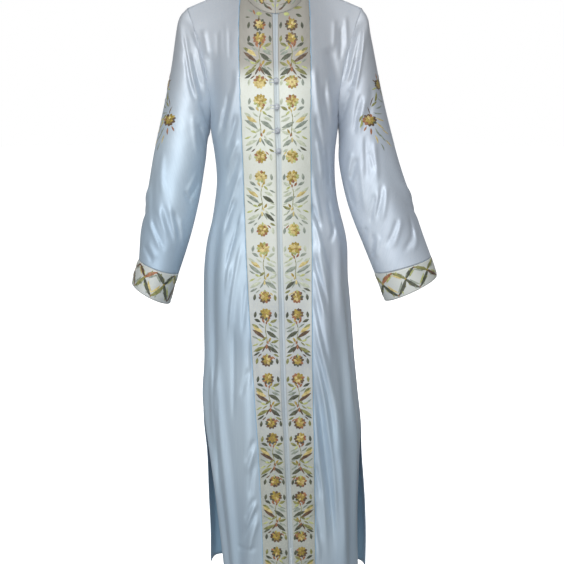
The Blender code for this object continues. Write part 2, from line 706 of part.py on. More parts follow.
def make_tube(name, path, radius, around, finish):
    """Round cord along a path that lies square to Y, with filled ends."""
    points = []
    for i, point in enumerate(path):
        before = path[max(i - 1, 0)]
        after = path[min(i + 1, len(path) - 1)]
        forward = unit(after - before)
        side = np.cross(forward, (0.0, 1.0, 0.0))
        for k in range(around):
            turn = 2 * math.pi * k / around
            points.append(point + radius * (math.cos(turn) * side + math.sin(turn) * np.array((0, 1, 0))))
    faces = []
    for i in range(len(path) - 1):
        for k in range(around):
            a = i * around + k
            b = i * around + (k + 1) % around
            faces += [(a, b + around, b), (a, a + around, b + around)]
    last = (len(path) - 1) * around
    for k in range(1, around - 1):
        faces.append((0, k, k + 1))
        faces.append((last, last + k + 1, last + k))
    return make_object(name, points, faces, finish)


def main():
    clear_scene()
    fronts = {side: front_grid(side) for side in ("left", "right")}
    back = back_grid()
    for side in ("left", "right"):
        make_front(side, fronts[side])
        make_band(side, fronts[side])
        sleeve, cuff = sleeve_grids(side, fronts, back)
        make_sleeve(side, sleeve, cuff)
        make_back(side, back)
    make_collar(fronts, back)
    for number, z in enumerate(BUTTON_HEIGHTS, start=1):
        seat = centre_point(fronts["left"], z)
        make_button(f"button_{number}", seat)
        make_loop(f"loop_{number}", seat)


main()
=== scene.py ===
import math
import random

import bmesh
import bpy
import numpy as np
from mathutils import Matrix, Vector
from mathutils.bvhtree import BVHTree


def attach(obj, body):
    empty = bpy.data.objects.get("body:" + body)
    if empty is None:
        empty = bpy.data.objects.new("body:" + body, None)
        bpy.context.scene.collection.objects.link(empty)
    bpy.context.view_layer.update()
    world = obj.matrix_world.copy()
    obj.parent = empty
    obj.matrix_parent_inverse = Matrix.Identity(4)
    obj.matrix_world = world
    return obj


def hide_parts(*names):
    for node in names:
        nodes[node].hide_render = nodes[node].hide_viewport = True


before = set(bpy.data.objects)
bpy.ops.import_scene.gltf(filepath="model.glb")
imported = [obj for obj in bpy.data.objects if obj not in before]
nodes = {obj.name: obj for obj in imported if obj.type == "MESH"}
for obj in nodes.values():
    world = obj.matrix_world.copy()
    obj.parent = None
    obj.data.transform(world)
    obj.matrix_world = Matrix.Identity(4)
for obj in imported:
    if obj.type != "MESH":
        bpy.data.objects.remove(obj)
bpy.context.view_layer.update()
print("frame loaded:", len(nodes), "nodes")

scene = bpy.context.scene
chance = random.Random(7)
signs = {"left": 1, "right": -1}    # the wearer's own sides, by the sign of x
ahead = Vector((0.0, -1.0, 0.0))


# wraps a node's output, so that sums on values are written as Python
class Shade:
    def __init__(self, tree, socket):
        self.tree = tree
        self.socket = socket

    def node(self, kind, settings=None, values=None, output=0):
        made = self.tree.nodes.new(kind)
        for name, value in (settings or {}).items():
            setattr(made, name, value)
        for key, value in (values or {}).items():
            if isinstance(value, Shade):
                self.tree.links.new(value.socket, made.inputs[key])
            else:
                made.inputs[key].default_value = value
        return Shade(self.tree, made.outputs[output])

    def maths(self, operation, first, second=0.0):
        return self.node("ShaderNodeMath", {"operation": operation}, {0: first, 1: second})

    def __add__(self, other):
        return self.maths("ADD", self, other)

    def __sub__(self, other):
        return self.maths("SUBTRACT", self, other)

    def __rsub__(self, other):
        return self.maths("SUBTRACT", other, self)

    def __mul__(self, other):
        return self.maths("MULTIPLY", self, other)

    __radd__ = __add__
    __rmul__ = __mul__

    def sine(self):
        return self.maths("SINE", self)

    def clamped(self):
        return self.node("ShaderNodeClamp", None, {"Value": self})

    def between(self, low, high):  # soft step from 0 at low to 1 at high
        return self.node("ShaderNodeMapRange", {"interpolation_type": "SMOOTHSTEP"},
                         {"Value": self, "From Min": low, "From Max": high})

    def mixed(self, first, second):  # this value is the share of the second colour
        return self.node("ShaderNodeMix", {"data_type": "RGBA"},
                         {0: self, 6: first, 7: second}, output=2)


def colour(red, green, blue):  # from screen values of 0 to 255
    linear = []
    for part in (red, green, blue):
        part /= 255
        linear.append(part / 12.92 if part <= 0.04045 else ((part + 0.055) / 1.055) ** 2.4)
    return (*linear, 1.0)


def newMaterial(name, **fixed):  # fixed sockets of its shader by name
    material = bpy.data.materials.new(name)
    material.use_nodes = True
    tree = material.node_tree
    shader = tree.nodes["Principled BSDF"]
    for key, value in fixed.items():
        shader.inputs[key.replace("_", " ")].default_value = value
    return material, Shade(tree, shader.outputs[0])


def join(value, node, name):
    value.tree.links.new(value.socket, node.inputs[name])


def surface(shade, base, rough):
    join(base, shade.socket.node, "Base Color")
    join(rough, shade.socket.node, "Roughness")


level = (0.0, 0.0, 0.0)


def stretched(shade, scale, turn=level):  # object coordinates, turned then scaled
    place = shade.node("ShaderNodeTexCoord", output=3)
    turned = shade.node("ShaderNodeMapping", None, {"Vector": place, "Rotation": turn})
    return shade.node("ShaderNodeMapping", None, {"Vector": turned, "Scale": scale})


def noise(shade, scale, detail=2.0, rough=0.5, turn=level):
    if not isinstance(scale, tuple):
        scale = (scale,) * 3
    return shade.node("ShaderNodeTexNoise", None, {
        "Vector": stretched(shade, scale, turn), "Scale": 1.0, "Detail": detail,
        "Roughness": rough})


def parted(shade, place, axes):     # single coordinates out of a place
    return [shade.node("ShaderNodeSeparateXYZ", None, {0: place}, output=axis) for axis in axes]


def bumped(shade, height, strength, distance, under=None):
    values = {"Height": height, "Strength": strength, "Distance": distance}
    if under is not None:
        values["Normal"] = under
    bump = shade.node("ShaderNodeBump", None, values)
    join(bump, shade.socket.node, "Normal")
    return bump


satinLook = {
    "lit": colour(190, 206, 218),
    "deep": colour(160, 179, 196),
    # painted shade on the satin's ripples
    "rippleShade": colour(176, 198, 211),
    "upper": colour(184, 188, 194),     # greyer at the shoulders
    "upperHeights": (-0.45, -0.06),
    "left": colour(198, 199, 208),      # and on the wearer's left
    "leftReach": (0.03, 0.13),
    "leftHeights": (-1.05, -0.6),
    # the inner faces: a darker copy of the outer satin, painted shade of the inside; the piping
    # takes these tones too
    "inside": colour(150, 184, 208),
    "insideDeep": colour(124, 158, 184),
    "roughness": 0.62,
    "sheen": 0.10,
    "metallic": 0.55,
    "insideMetallic": 0.4,              # share of the outside's
    "warp": (420, 420, 9),
    "clouds": (5, 5, 2.2),
    "ripple": (26, 26, 4.5),
}


def satin(name, lean=0.0, inside=False):
    look = satinLook
    material, shade = newMaterial(
        name, Sheen_Weight=look["sheen"], Sheen_Roughness=0.35,
        Metallic=look["metallic"] * (look["insideMetallic"] if inside else 1.0))
    turn = (0.0, lean, 0.0)
    streaks = noise(shade, look["warp"], 3.0, 0.6, turn)
    clouds = noise(shade, look["clouds"], turn=turn)
    ripple = noise(shade, look["ripple"], rough=0.45, turn=turn)
    first, second = [look[key] for key in (("inside", "insideDeep") if inside else ("lit", "deep"))]
    ground = clouds.between(0.3, 0.75).mixed(first, second)
    if not inside:
        # painted shade: a cooler, darker tone on the ripples, for contrast
        ground = (ripple.between(0.5, 0.8) * 0.35).mixed(ground, look["rippleShade"])
        across, height = parted(shade, stretched(shade, (1, 1, 1)), (0, 2))
        onLeft = across.between(*look["leftReach"]) * height.between(*look["leftHeights"])
        ground = (onLeft * 0.45).mixed(ground, look["left"])
        ground = (height.between(*look["upperHeights"]) * 0.9).mixed(ground, look["upper"])
    surface(shade, (streaks.between(0.35, 0.75) * 0.22).mixed(ground, second),
            look["roughness"] + (streaks - 0.5) * 0.16 + (clouds - 0.5) * 0.08)
    soft = bumped(shade, ripple, 0.55, 0.0016)
    bumped(shade, streaks, 0.18, 0.0003, soft)
    return material


bandLook = {
    "ground": colour(176, 181, 182),
    "shade": colour(160, 166, 170),
    "thread": colour(188, 190, 178),
    "top": colour(131, 127, 120),       # painted shade: darker and greyer near the neck
    "neckShadeHeights": (-0.215, -0.16),
    "pale": colour(208, 212, 200),      # painted light: paler about the waist
    "paintedLightHeights": (-0.80, -0.45),
    # painted shade: darker towards the foot of the bands
    "low": colour(146, 150, 132),
    "lowShadeHeights": (-1.20, -0.85),
    "placket": colour(168, 184, 198),
    "roughness": 0.5,
    "weave": 260.0,
}


def bandCloth(name, lean=0.0, placket=False):
    look = bandLook
    material, shade = newMaterial(name, Sheen_Weight=0.2, Sheen_Roughness=0.4, Metallic=0.08)
    place = stretched(shade, (1, 1, 1), (0.0, lean, 0.0))
    across, along = [shade.node("ShaderNodeTexWave", {"wave_type": "BANDS", "bands_direction": way},
                                {"Vector": place, "Scale": look["weave"], "Distortion": 0.6})
                     for way in ("X", "Z")]
    weave = across * 0.5 + along * 0.5
    clouds = noise(shade, 16, 3.0)
    fibres = noise(shade, 300)
    height, = parted(shade, stretched(shade, (1, 1, 1)), (2,))
    ground = clouds.between(0.35, 0.7).mixed(look["ground"], look["shade"])
    # painted light: the ground pales about the waist
    ground = (height.between(*look["paintedLightHeights"]) * 0.6).mixed(ground, look["pale"])
    # painted shade: the ground darkens low down
    ground = (height.between(*look["lowShadeHeights"]) * -0.45 + 0.45).mixed(ground, look["low"])
    ground = (fibres.between(0.45, 0.7) * 0.5).mixed(ground, look["thread"])
    # painted shade: the ground darkens near the neck
    base = (height.between(*look["neckShadeHeights"]) * 0.85).mixed(ground, look["top"])
    if placket:
        base = shade.node("ShaderNodeMix", {"data_type": "RGBA"},
                          {0: 0.5, 6: base, 7: look["placket"]}, output=2)
    surface(shade, base, look["roughness"] + (weave - 0.5) * 0.15)
    bumped(shade, weave * 0.7 + fibres * 0.3, 0.35, 0.0004)
    return material


# satin stitch: threads run over each leaf, so the stripes follow its own UV map
strandPitch = 7800.0


def thread(name, low, high, sparkle=0.0):
    material, shade = newMaterial(name, Sheen_Weight=0.3, Sheen_Roughness=0.3, Metallic=sparkle)
    along, across = parted(shade, shade.node("ShaderNodeUVMap", {"uv_map": "stitch"}), (0, 1))
    strand = ((along + across.maths("ABSOLUTE", across) * 0.5) * strandPitch).sine()
    share = (noise(shade, 150).between(0.3, 0.7) * 0.75 + strand * 0.12 + 0.1).clamped()
    surface(shade, share.mixed(low, high), 0.42 + strand * 0.06)
    bumped(shade, strand, 0.4, 0.0002)
    return material


cordLook = {"deep": colour(160, 168, 178), "pale": colour(192, 197, 202),
            "fibre": colour(136, 146, 158)}


def cordCloth(name, radius):
    look = cordLook
    material, shade = newMaterial(name, Sheen_Weight=0.3, Sheen_Roughness=0.3)
    fibres = noise(shade, 900)
    ground = noise(shade, 90).between(0.3, 0.7).mixed(look["deep"], look["pale"])
    surface(shade, (fibres.between(0.4, 0.8) * 0.4).mixed(ground, look["fibre"]),
            0.45 + fibres * 0.2)
    bumped(shade, fibres, 0.4, radius * 0.3)
    return material


threadLooks = {
    "gold": (colour(122, 104, 46), colour(172, 152, 74), 0.2),
    "lightGold": (colour(164, 146, 88), colour(206, 192, 136), 0.15),
    "rust": (colour(116, 74, 48), colour(160, 112, 78), 0.05),
    "brown": (colour(66, 50, 38), colour(104, 82, 60), 0.0),
    "darkLeaf": (colour(50, 54, 44), colour(88, 92, 72), 0.0),
    "olive": (colour(92, 94, 54), colour(142, 142, 88), 0.05),
    "lime": (colour(136, 142, 84), colour(180, 186, 124), 0.05),
    "greyLeaf": (colour(106, 116, 108), colour(148, 156, 142), 0.05),
    "paleLeaf": (colour(150, 158, 140), colour(186, 192, 170), 0.05),
    "seam": (colour(138, 152, 164), colour(170, 184, 194), 0.2),
}
threadNames = list(threadLooks)
threads = [thread(f"{name}Thread", *look) for name, look in threadLooks.items()]
satinBody = satin("satinBody")
# the inner faces' satin is darker as painted shade
shadedSatinInside = satin("shadedSatinInside", inside=True)
pipingMaterial = satin("pipingSatin", inside=True)
sleeveMaterials = {"left": satin("satinLeftSleeve", math.radians(-16)),
                   "right": satin("satinRightSleeve", math.radians(14))}
placketMaterial = bandCloth("placketGround", placket=True)
bandMaterial = bandCloth("bandGround")
cuffMaterials = {"left": bandCloth("cuffGroundLeft", math.radians(-30)),
                 "right": bandCloth("cuffGroundRight", math.radians(20))}
collarMaterial = bandCloth("collarGround")
print("materials made")


def newObject(name, data):
    obj = bpy.data.objects.new(name, data)
    scene.collection.objects.link(obj)
    return obj


def newMesh(name, bm):      # ends with the bmesh
    mesh = bpy.data.meshes.new(name)
    bm.to_mesh(mesh)
    bm.free()
    return mesh


def openMesh(*meshes):
    bm = bmesh.new()
    for mesh in meshes:
        bm.from_mesh(mesh)
    bm.normal_update()
    return bm


def evaluated(obj):
    graph = bpy.context.evaluated_depsgraph_get()
    return bpy.data.meshes.new_from_object(obj.evaluated_get(graph), depsgraph=graph)


def applyModifiers(obj):
    mesh = evaluated(obj)
    old = obj.data
    obj.modifiers.clear()
    obj.data = mesh
    bpy.data.meshes.remove(old)


def pointsOf(mesh):
    flat = np.empty(len(mesh.vertices) * 3, np.float32)
    mesh.vertices.foreach_get("co", flat)
    return flat.reshape(-1, 3).astype(float)


def setPoints(mesh, points):
    mesh.vertices.foreach_set("co", points.astype(np.float32).ravel())
    mesh.update()


def addSubdivision(obj, levels):
    modifier = obj.modifiers.new("subdivision", "SUBSURF")
    modifier.levels = modifier.render_levels = levels


# the sides of a wall are parted by its rims: faces that look at the middle get material 1
def markInside(bm, rims, middle):
    left = set(bm.faces) - rims
    walls = [[face] for face in rims]
    while left:
        wall = [left.pop()]
        for face in wall:
            near = {other for edge in face.edges for other in edge.link_faces} & left
            left -= near
            wall.extend(near)
        walls.append(wall)
    for wall in walls:
        centres = np.array([face.calc_center_median() for face in wall])
        normals = np.array([face.normal * face.calc_area() for face in wall])
        away = centres - middle(centres)
        away /= np.maximum(np.linalg.norm(away, axis=1), 1e-6)[:, None]
        total = sum(face.calc_area() for face in wall)
        inside = np.sum(away * normals) < (-0.3 if len(wall) == 1 else 0.0) * total
        for face in wall:
            face.material_index = int(inside)


clothShape = {
    "rim": 0.0033,      # a wall's rim faces have an edge shorter than this
    "weld": 0.00005,
    "flat": 60,         # degrees, up to which triangles join into quads
    "square": 80,
    "crisp": 40,        # rim edges sharper than this stay so
    "fits": 5,          # rounds of fitting the cage to the node's points
}


# a node's wall as smooth cloth: its triangles become quads, then a subdivision
# that still passes through the node's own points and keeps its rims crisp
def clothCopy(node, name, levels, middle):
    shape = clothShape
    bm = openMesh(nodes[node].data)
    bmesh.ops.remove_doubles(bm, verts=bm.verts, dist=shape["weld"])
    bmesh.ops.join_triangles(bm, faces=bm.faces,
                             angle_face_threshold=math.radians(shape["flat"]),
                             angle_shape_threshold=math.radians(shape["square"]))
    crease = bm.edges.layers.float.new("crease_edge")
    rims = {f for f in bm.faces if min(e.calc_length() for e in f.edges) < shape["rim"]}
    sharp = math.radians(shape["crisp"])
    for edge in bm.edges:
        ends = [f in rims for f in edge.link_faces]
        if len(ends) == 2 and (ends[0] != ends[1]
                               or (all(ends) and edge.calc_face_angle(0.0) > sharp)):
            edge[crease] = 1.0
    markInside(bm, rims, middle)
    mesh = newMesh(name, bm)
    for extra in [a.name for a in mesh.attributes if a.name in ("custom_normal", "UVMap")]:
        mesh.attributes.remove(mesh.attributes[extra])
    obj = newObject(name, mesh)
    goal = pointsOf(mesh)
    cage = goal.copy()
    addSubdivision(obj, 1)
    for _ in range(shape["fits"]):
        now = evaluated(obj)
        cage += goal - pointsOf(now)[:len(goal)]
        bpy.data.meshes.remove(now)
        setPoints(mesh, cage)
    obj.modifiers.clear()
    addSubdivision(obj, levels)
    applyModifiers(obj)
    return obj


def smoothStep(x):
    x = np.clip(x, 0.0, 1.0)
    return x * x * (3 - 2 * x)


def rounded(path):      # corners cut twice
    for _ in range(2):
        cut = np.empty((2 * len(path) - 2, 2))
        cut[0::2] = path[:-1] * 0.75 + path[1:] * 0.25
        cut[1::2] = path[:-1] * 0.25 + path[1:] * 0.75
        path = np.vstack((path[:1], cut, path[-1:]))
    return path


def lengthsAlong(route):    # at each point of a route
    return np.concatenate(([0.0], np.cumsum(np.linalg.norm(np.diff(route, axis=0), axis=1))))


# where a fold lies: the two axes it is drawn on, the way it rises, and its sign
facings = {"front": (0, 2, 1, -1.0), "back": (0, 2, 1, 1.0),
           "right": (1, 2, 0, -1.0), "left": (1, 2, 0, 1.0)}
foldShape = {
    "fade": 0.03,           # metres from the side line, over which a fold begins
    "reach": 3.2,           # widths that a fold is felt
    "start": 0.22,          # shares of its path over which it rises and dies away
    "end": 0.30,
}


# how far each point moves; lean makes one flank of a fold wider than the other
def foldShift(points, tables, middle):
    shape = foldShape
    shift = np.zeros_like(points)
    rows = [(facing, row) for table in tables for facing, rows in table.items() for row in rows]
    for facing, (width, depth, lean, *path) in rows:
        first, second, rise, sign = facings[facing]
        path = rounded(np.reshape(path, (-1, 2)) / 1000)
        width, depth = width / 1000, depth / 1000
        flat = points[:, (first, second)]
        reach = shape["reach"] * width
        near = np.all((flat > path.min(0) - reach) & (flat < path.max(0) + reach), axis=1)
        near &= sign * (points[:, rise] - middle(points)[:, rise]) > 0
        index = np.nonzero(near)[0]
        if not len(index):
            continue
        flat = flat[index]
        best = np.full(len(flat), 1e9)
        side, place = np.zeros(len(flat)), np.zeros(len(flat))
        gone = lengthsAlong(path)
        for k, step in enumerate(np.diff(gone)):
            way = (path[k + 1] - path[k]) / step
            away = flat - path[k]
            t = np.clip(away @ way, 0.0, step)
            apart = away - t[:, None] * way
            distance = np.linalg.norm(apart, axis=1)
            closer = distance < best
            best[closer] = distance[closer]
            side[closer] = np.sign(way[0] * apart[closer, 1] - way[1] * apart[closer, 0])
            place[closer] = (gone[k] + t[closer]) / gone[-1]
        share = np.exp(-((best / (width * (1.0 + lean * side))) ** 2))
        share *= smoothStep(place / shape["start"]) * smoothStep((1.0 - place) / shape["end"])
        here = points[index]
        share *= smoothStep(sign * (here[:, rise] - middle(here)[:, rise]) / shape["fade"])
        shift[index, rise] += sign * depth * share
    return shift


# slow unevenness of hanging cloth, the same on every piece that meets at a seam
swell = {
    "size": 0.0009,
    "waves": ((31, 9, 0.4), (-23, 14, 2.1), (47, -6, 4.0), (12, 22, 5.2)),
}


def swellShift(points, middle):
    height = np.zeros(len(points))
    for alongX, alongZ, phase in swell["waves"]:
        height += np.sin(points[:, 0] * alongX + points[:, 2] * alongZ + phase)
    away = (points[:, 1] - middle(points)[:, 1]) / foldShape["fade"]
    shift = np.zeros_like(points)
    shift[:, 1] = smoothStep(np.abs(away)) * np.sign(away) * height * swell["size"]
    return shift


# the body's middle line by depth below the neck, and how high the shoulders look to
bodyLine = {"down": (0.31, 0.53, 0.96, 1.44), "x": (0.007, 0.0115, 0.023, 0.041), "top": -0.15}


def bodyMiddle(points):
    middle = np.zeros_like(points)
    middle[:, 0] = np.interp(-points[:, 2], bodyLine["down"], bodyLine["x"])
    middle[:, 2] = np.minimum(points[:, 2], bodyLine["top"])
    return middle


# the line through a sleeve, as x, y and z at a few heights
sleeveLines = {
    "right": ((-0.170, 0.000, -0.17), (-0.205, -0.008, -0.30), (-0.229, -0.020, -0.43),
              (-0.258, -0.033, -0.565), (-0.2725, -0.041, -0.63), (-0.292, -0.048, -0.69)),
    "left": ((0.170, 0.000, -0.17), (0.200, -0.008, -0.30), (0.227, -0.020, -0.43),
             (0.276, -0.033, -0.565), (0.301, -0.041, -0.63), (0.320, -0.048, -0.68)),
}


def sleeveMiddle(side):
    line = np.array(sleeveLines[side])

    def middle(points):
        return np.stack([np.interp(-points[:, 2], -line[:, 2], line[:, k]) for k in (0, 1)]
                        + [points[:, 2]], axis=1)
    return middle


# folds by the way they face, in millimetres: width, depth, lean, then the path's points,
# as x and z, or as y and z on the sides; a depth above 0 is a ridge and below it a trough.
# those at the armholes cross from the body into the sleeves
armFolds = {
    "front": (
        (4.6, 3.7, 0.2, -203, -87, -191, -163, -181, -211, -168, -256),
        (4.4, 3.5, 0.2, -176, -119, -163, -180, -155, -229),
        (4.4, 3.5, 0, -186, -188, -177, -218, -167, -253),
        (6, 3.6, 0, -161, -88, -152, -128, -149, -158),
        (4.4, -3.5, 0, -199, -136, -196, -176, -189, -218, -175, -260),
        (4.4, -3.4, 0, -185, -141, -176, -185, -164, -229),
        (4.4, -3.5, 0, -169, -128, -161, -167, -153, -211),
        (4.4, -3, 0, -184, -92, -174, -119, -167, -141),
        (5.5, 4.4, -0.2, 201, -69, 198, -132, 187, -198, 175, -251),
        (5.1, 4.1, -0.2, 193, -79, 182, -128, 172, -171, 159, -220),
        (4.4, 3.5, 0, 177, -211, 164, -242, 152, -277),
        (4.4, -3.5, 0, 186, -150, 181, -185, 170, -220),
        (4.4, -3.5, 0, 170, -128, 164, -172, 154, -211),
        (4.4, -3.2, 0, 174, -218, 163, -249, 146, -275),
        (14.9, -8, 0, -142, -132, -138, -193, -139, -273),
        (12.6, -7, 0, 119, -124, 133, -171, 141, -238),
    ),
    "back": (
        (7, 3.6, 0, -200, -85, -185, -170, -152, -262),
        (7, 3.2, 0, 200, -90, 184, -175, 152, -260),
        (8, -3.4, 0, -176, -110, -162, -190, -146, -250),
        (8, -3.4, 0, 178, -112, 163, -188, 146, -250),
    ),
}

# the long last row of the front is the sunk line between the bands
bodyFolds = {
    "front": (
        (4.4, -1.3, 0, -128, -93, -127, -132, -126, -171),
        (4.4, 0.8, 0, -118, -84, -118, -124, -116, -154),
        (4.4, -1.2, 0, -100, -89, -99, -124, -98, -163),
        (4.4, 0.8, 0, -108, -71, -107, -115, -105, -163),
        (9.2, 5.4, 0.2, -84, -167, -83, -210, -92, -245, -101, -285, -114, -330),
        (5.1, -4.5, 0, -100, -228, -108, -267, -121, -321),
        (5, 3.9, 0, -117, -254, -126, -299, -137, -346),
        (5.1, -3.9, 0, -83, -271, -92, -315, -109, -361),
        (5.5, 4.8, 0, -81, -328, -93, -360, -110, -403),
        (5.1, -4.2, 0, -77, -359, -91, -401, -111, -449),
        (5.5, 4.8, 0.2, -75, -395, -92, -447, -114, -521),
        (5.1, -4.5, 0, -88, -460, -102, -502, -119, -562),
        (6, 6, 0.5, -72, -486, -88, -556, -105, -612, -115, -701),
        (6, -6.6, 0.2, -76, -514, -95, -570, -112, -635),
        (5.5, 5.1, 0.4, -72, -550, -86, -610, -101, -700, -109, -808),
        (16, -8, 0, -138, -690, -138, -754, -131, -848, -123, -969, -110, -1094, -99, -1221, -90,
         -1325, -86, -1480),
        (22, 12, 0, -74, -610, -70, -698, -67, -816, -65, -937, -59, -1061, -57, -1188, -60, -1306,
         -62, -1560),
        (5.1, -4.2, 0, -63, -646, -69, -712, -76, -788),
        (5.1, -3.9, 0, -97, -747, -96, -872, -99, -1016),
        (5, 3.9, 0, -150, -856, -154, -955, -148, -1084),
        (5, -3.6, 0, -140, -900, -139, -1025, -138, -1213),
        (5, -4.2, 0, -60, -854, -72, -899, -79, -934),
        (5, -3, 0, -53, -779, -53, -844, -52, -917),
        (5, -4.5, 0, -47, -1025, -59, -1061, -71, -1098),
        (5, 3.3, 0, -47, -1050, -59, -1087, -69, -1123),
        (5, -4.5, 0, -46, -1080, -55, -1127, -62, -1189),
        (5, -4.8, 0, -46, -1172, -60, -1207, -74, -1248),
        (5, 3.9, 0, -43, -1185, -58, -1225, -71, -1269),
        (5, -4.8, 0, -41, -1200, -60, -1251, -80, -1313),
        (5.1, 3.9, 0, -38, -1228, -56, -1280, -68, -1337),
        (5, -3, 0, -95, -1323, -68, -1316, -39, -1306),
        (5.1, -3, 0, 150, -79, 150, -123, 147, -167),
        (4.6, 2.6, 0, 160, -57, 162, -101, 163, -141),
        (5.5, 2.4, 0, 135, -66, 134, -102, 133, -137),
        (6.9, 6, -0.2, 89, -163, 93, -219, 99, -267, 112, -325),
        (5, 3.9, 0, 118, -193, 124, -240, 135, -291),
        (5, -3.9, 0, 109, -210, 114, -254, 125, -308),
        (5, -3.9, 0, 92, -271, 99, -315, 112, -370),
        (5.1, 4.5, 0, 95, -324, 103, -369, 110, -429),
        (5.5, -3.9, 0, 116, -334, 123, -390, 127, -463),
        (5.5, 4.5, -0.3, 87, -400, 97, -469, 108, -529),
        (5, -5.6, 0, 83, -475, 94, -505, 106, -542),
        (5.1, 5.1, -0.3, 89, -496, 99, -546, 118, -611, 136, -685),
        (5, -4.8, 0, 120, -462, 130, -508, 139, -563),
        (5, -3.6, 0, 142, -524, 134, -554, 123, -570),
        (8.3, 6, -0.2, 96, -559, 109, -619, 128, -692),
        (5, -5.6, 0, 90, -582, 98, -630, 114, -676, 128, -729),
        (5, 5.1, 0, 91, -628, 104, -689, 121, -751),
        (5, -5.2, 0, 92, -674, 101, -731, 115, -798, 129, -857),
        (6.5, 4, 0.1, 90, -709, 98, -773, 110, -827, 132, -901, 148, -967, 152, -1057),
        (22, 12, 0, 104, -600, 107, -698, 110, -817, 132, -940, 153, -1066, 165, -1198, 169, -1316,
         172, -1560),
        (5, 5.6, 0, 89, -806, 104, -879, 117, -939, 128, -1024, 141, -1116, 153, -1299),
        (5, -5.2, 0, 90, -777, 103, -831, 118, -893, 133, -970, 146, -1066),
        (5, -5.7, 0, 92, -869, 104, -943, 113, -1017, 123, -1103, 135, -1192, 146, -1345),
        (5.5, 6.6, 0, 91, -927, 100, -1036, 108, -1117, 118, -1202, 129, -1352),
        (5, -4.5, 0, 94, -1090, 103, -1136, 113, -1188),
        (5, -4.5, 0, 97, -1187, 104, -1249, 111, -1307),
        (5, 4.2, 0, 98, -1238, 104, -1301, 109, -1351),
        (8, 4, 0, 158, -1067, 167, -1173, 174, -1362),
        (5, -3, 0, 3, 10, 3, -72, 5, -201, 7, -353, 10, -512, 17, -695, 22, -886, 29, -1083, 35,
         -1287, 42, -1600),
    ),
    "right": (
        (11, 3, 0, -30, -480, -36, -700, -34, -930),
        (11, -2.4, 0, 30, -520, 36, -720, 34, -930),
    ),
    "left": (
        (11, 3.2, 0, -34, -500, -40, -720, -40, -940),
        (11, -2.6, 0, 30, -520, 36, -740, 36, -940),
    ),
    "back": (
        (11, 3.4, 0, -110, -330, -70, -410, -20, -450),
        (10, -3, 0, -104, -370, -66, -440, -20, -475),
        (11, 3, 0, 118, -340, 78, -415, 30, -455),
        (10, -2.8, 0, 116, -385, 76, -450, 32, -485),
        (12, 4.5, 0, -100, -520, -112, -850, -124, -1150, -130, -1430),
        (12, -4.5, 0, -66, -500, -70, -850, -78, -1150, -82, -1430),
        (12, 4, 0, -26, -560, -24, -900, -28, -1430),
        (12, -3.5, 0, 40, -520, 46, -900, 58, -1430),
        (12, 4.5, 0, 86, -520, 102, -900, 122, -1430),
        (12, -4, 0, 124, -560, 146, -900, 172, -1430),
        (9, 2.2, 0, -60, -60, -52, -170, -56, -280),
        (9, 2.2, 0, 66, -60, 58, -170, 60, -280),
    ),
}

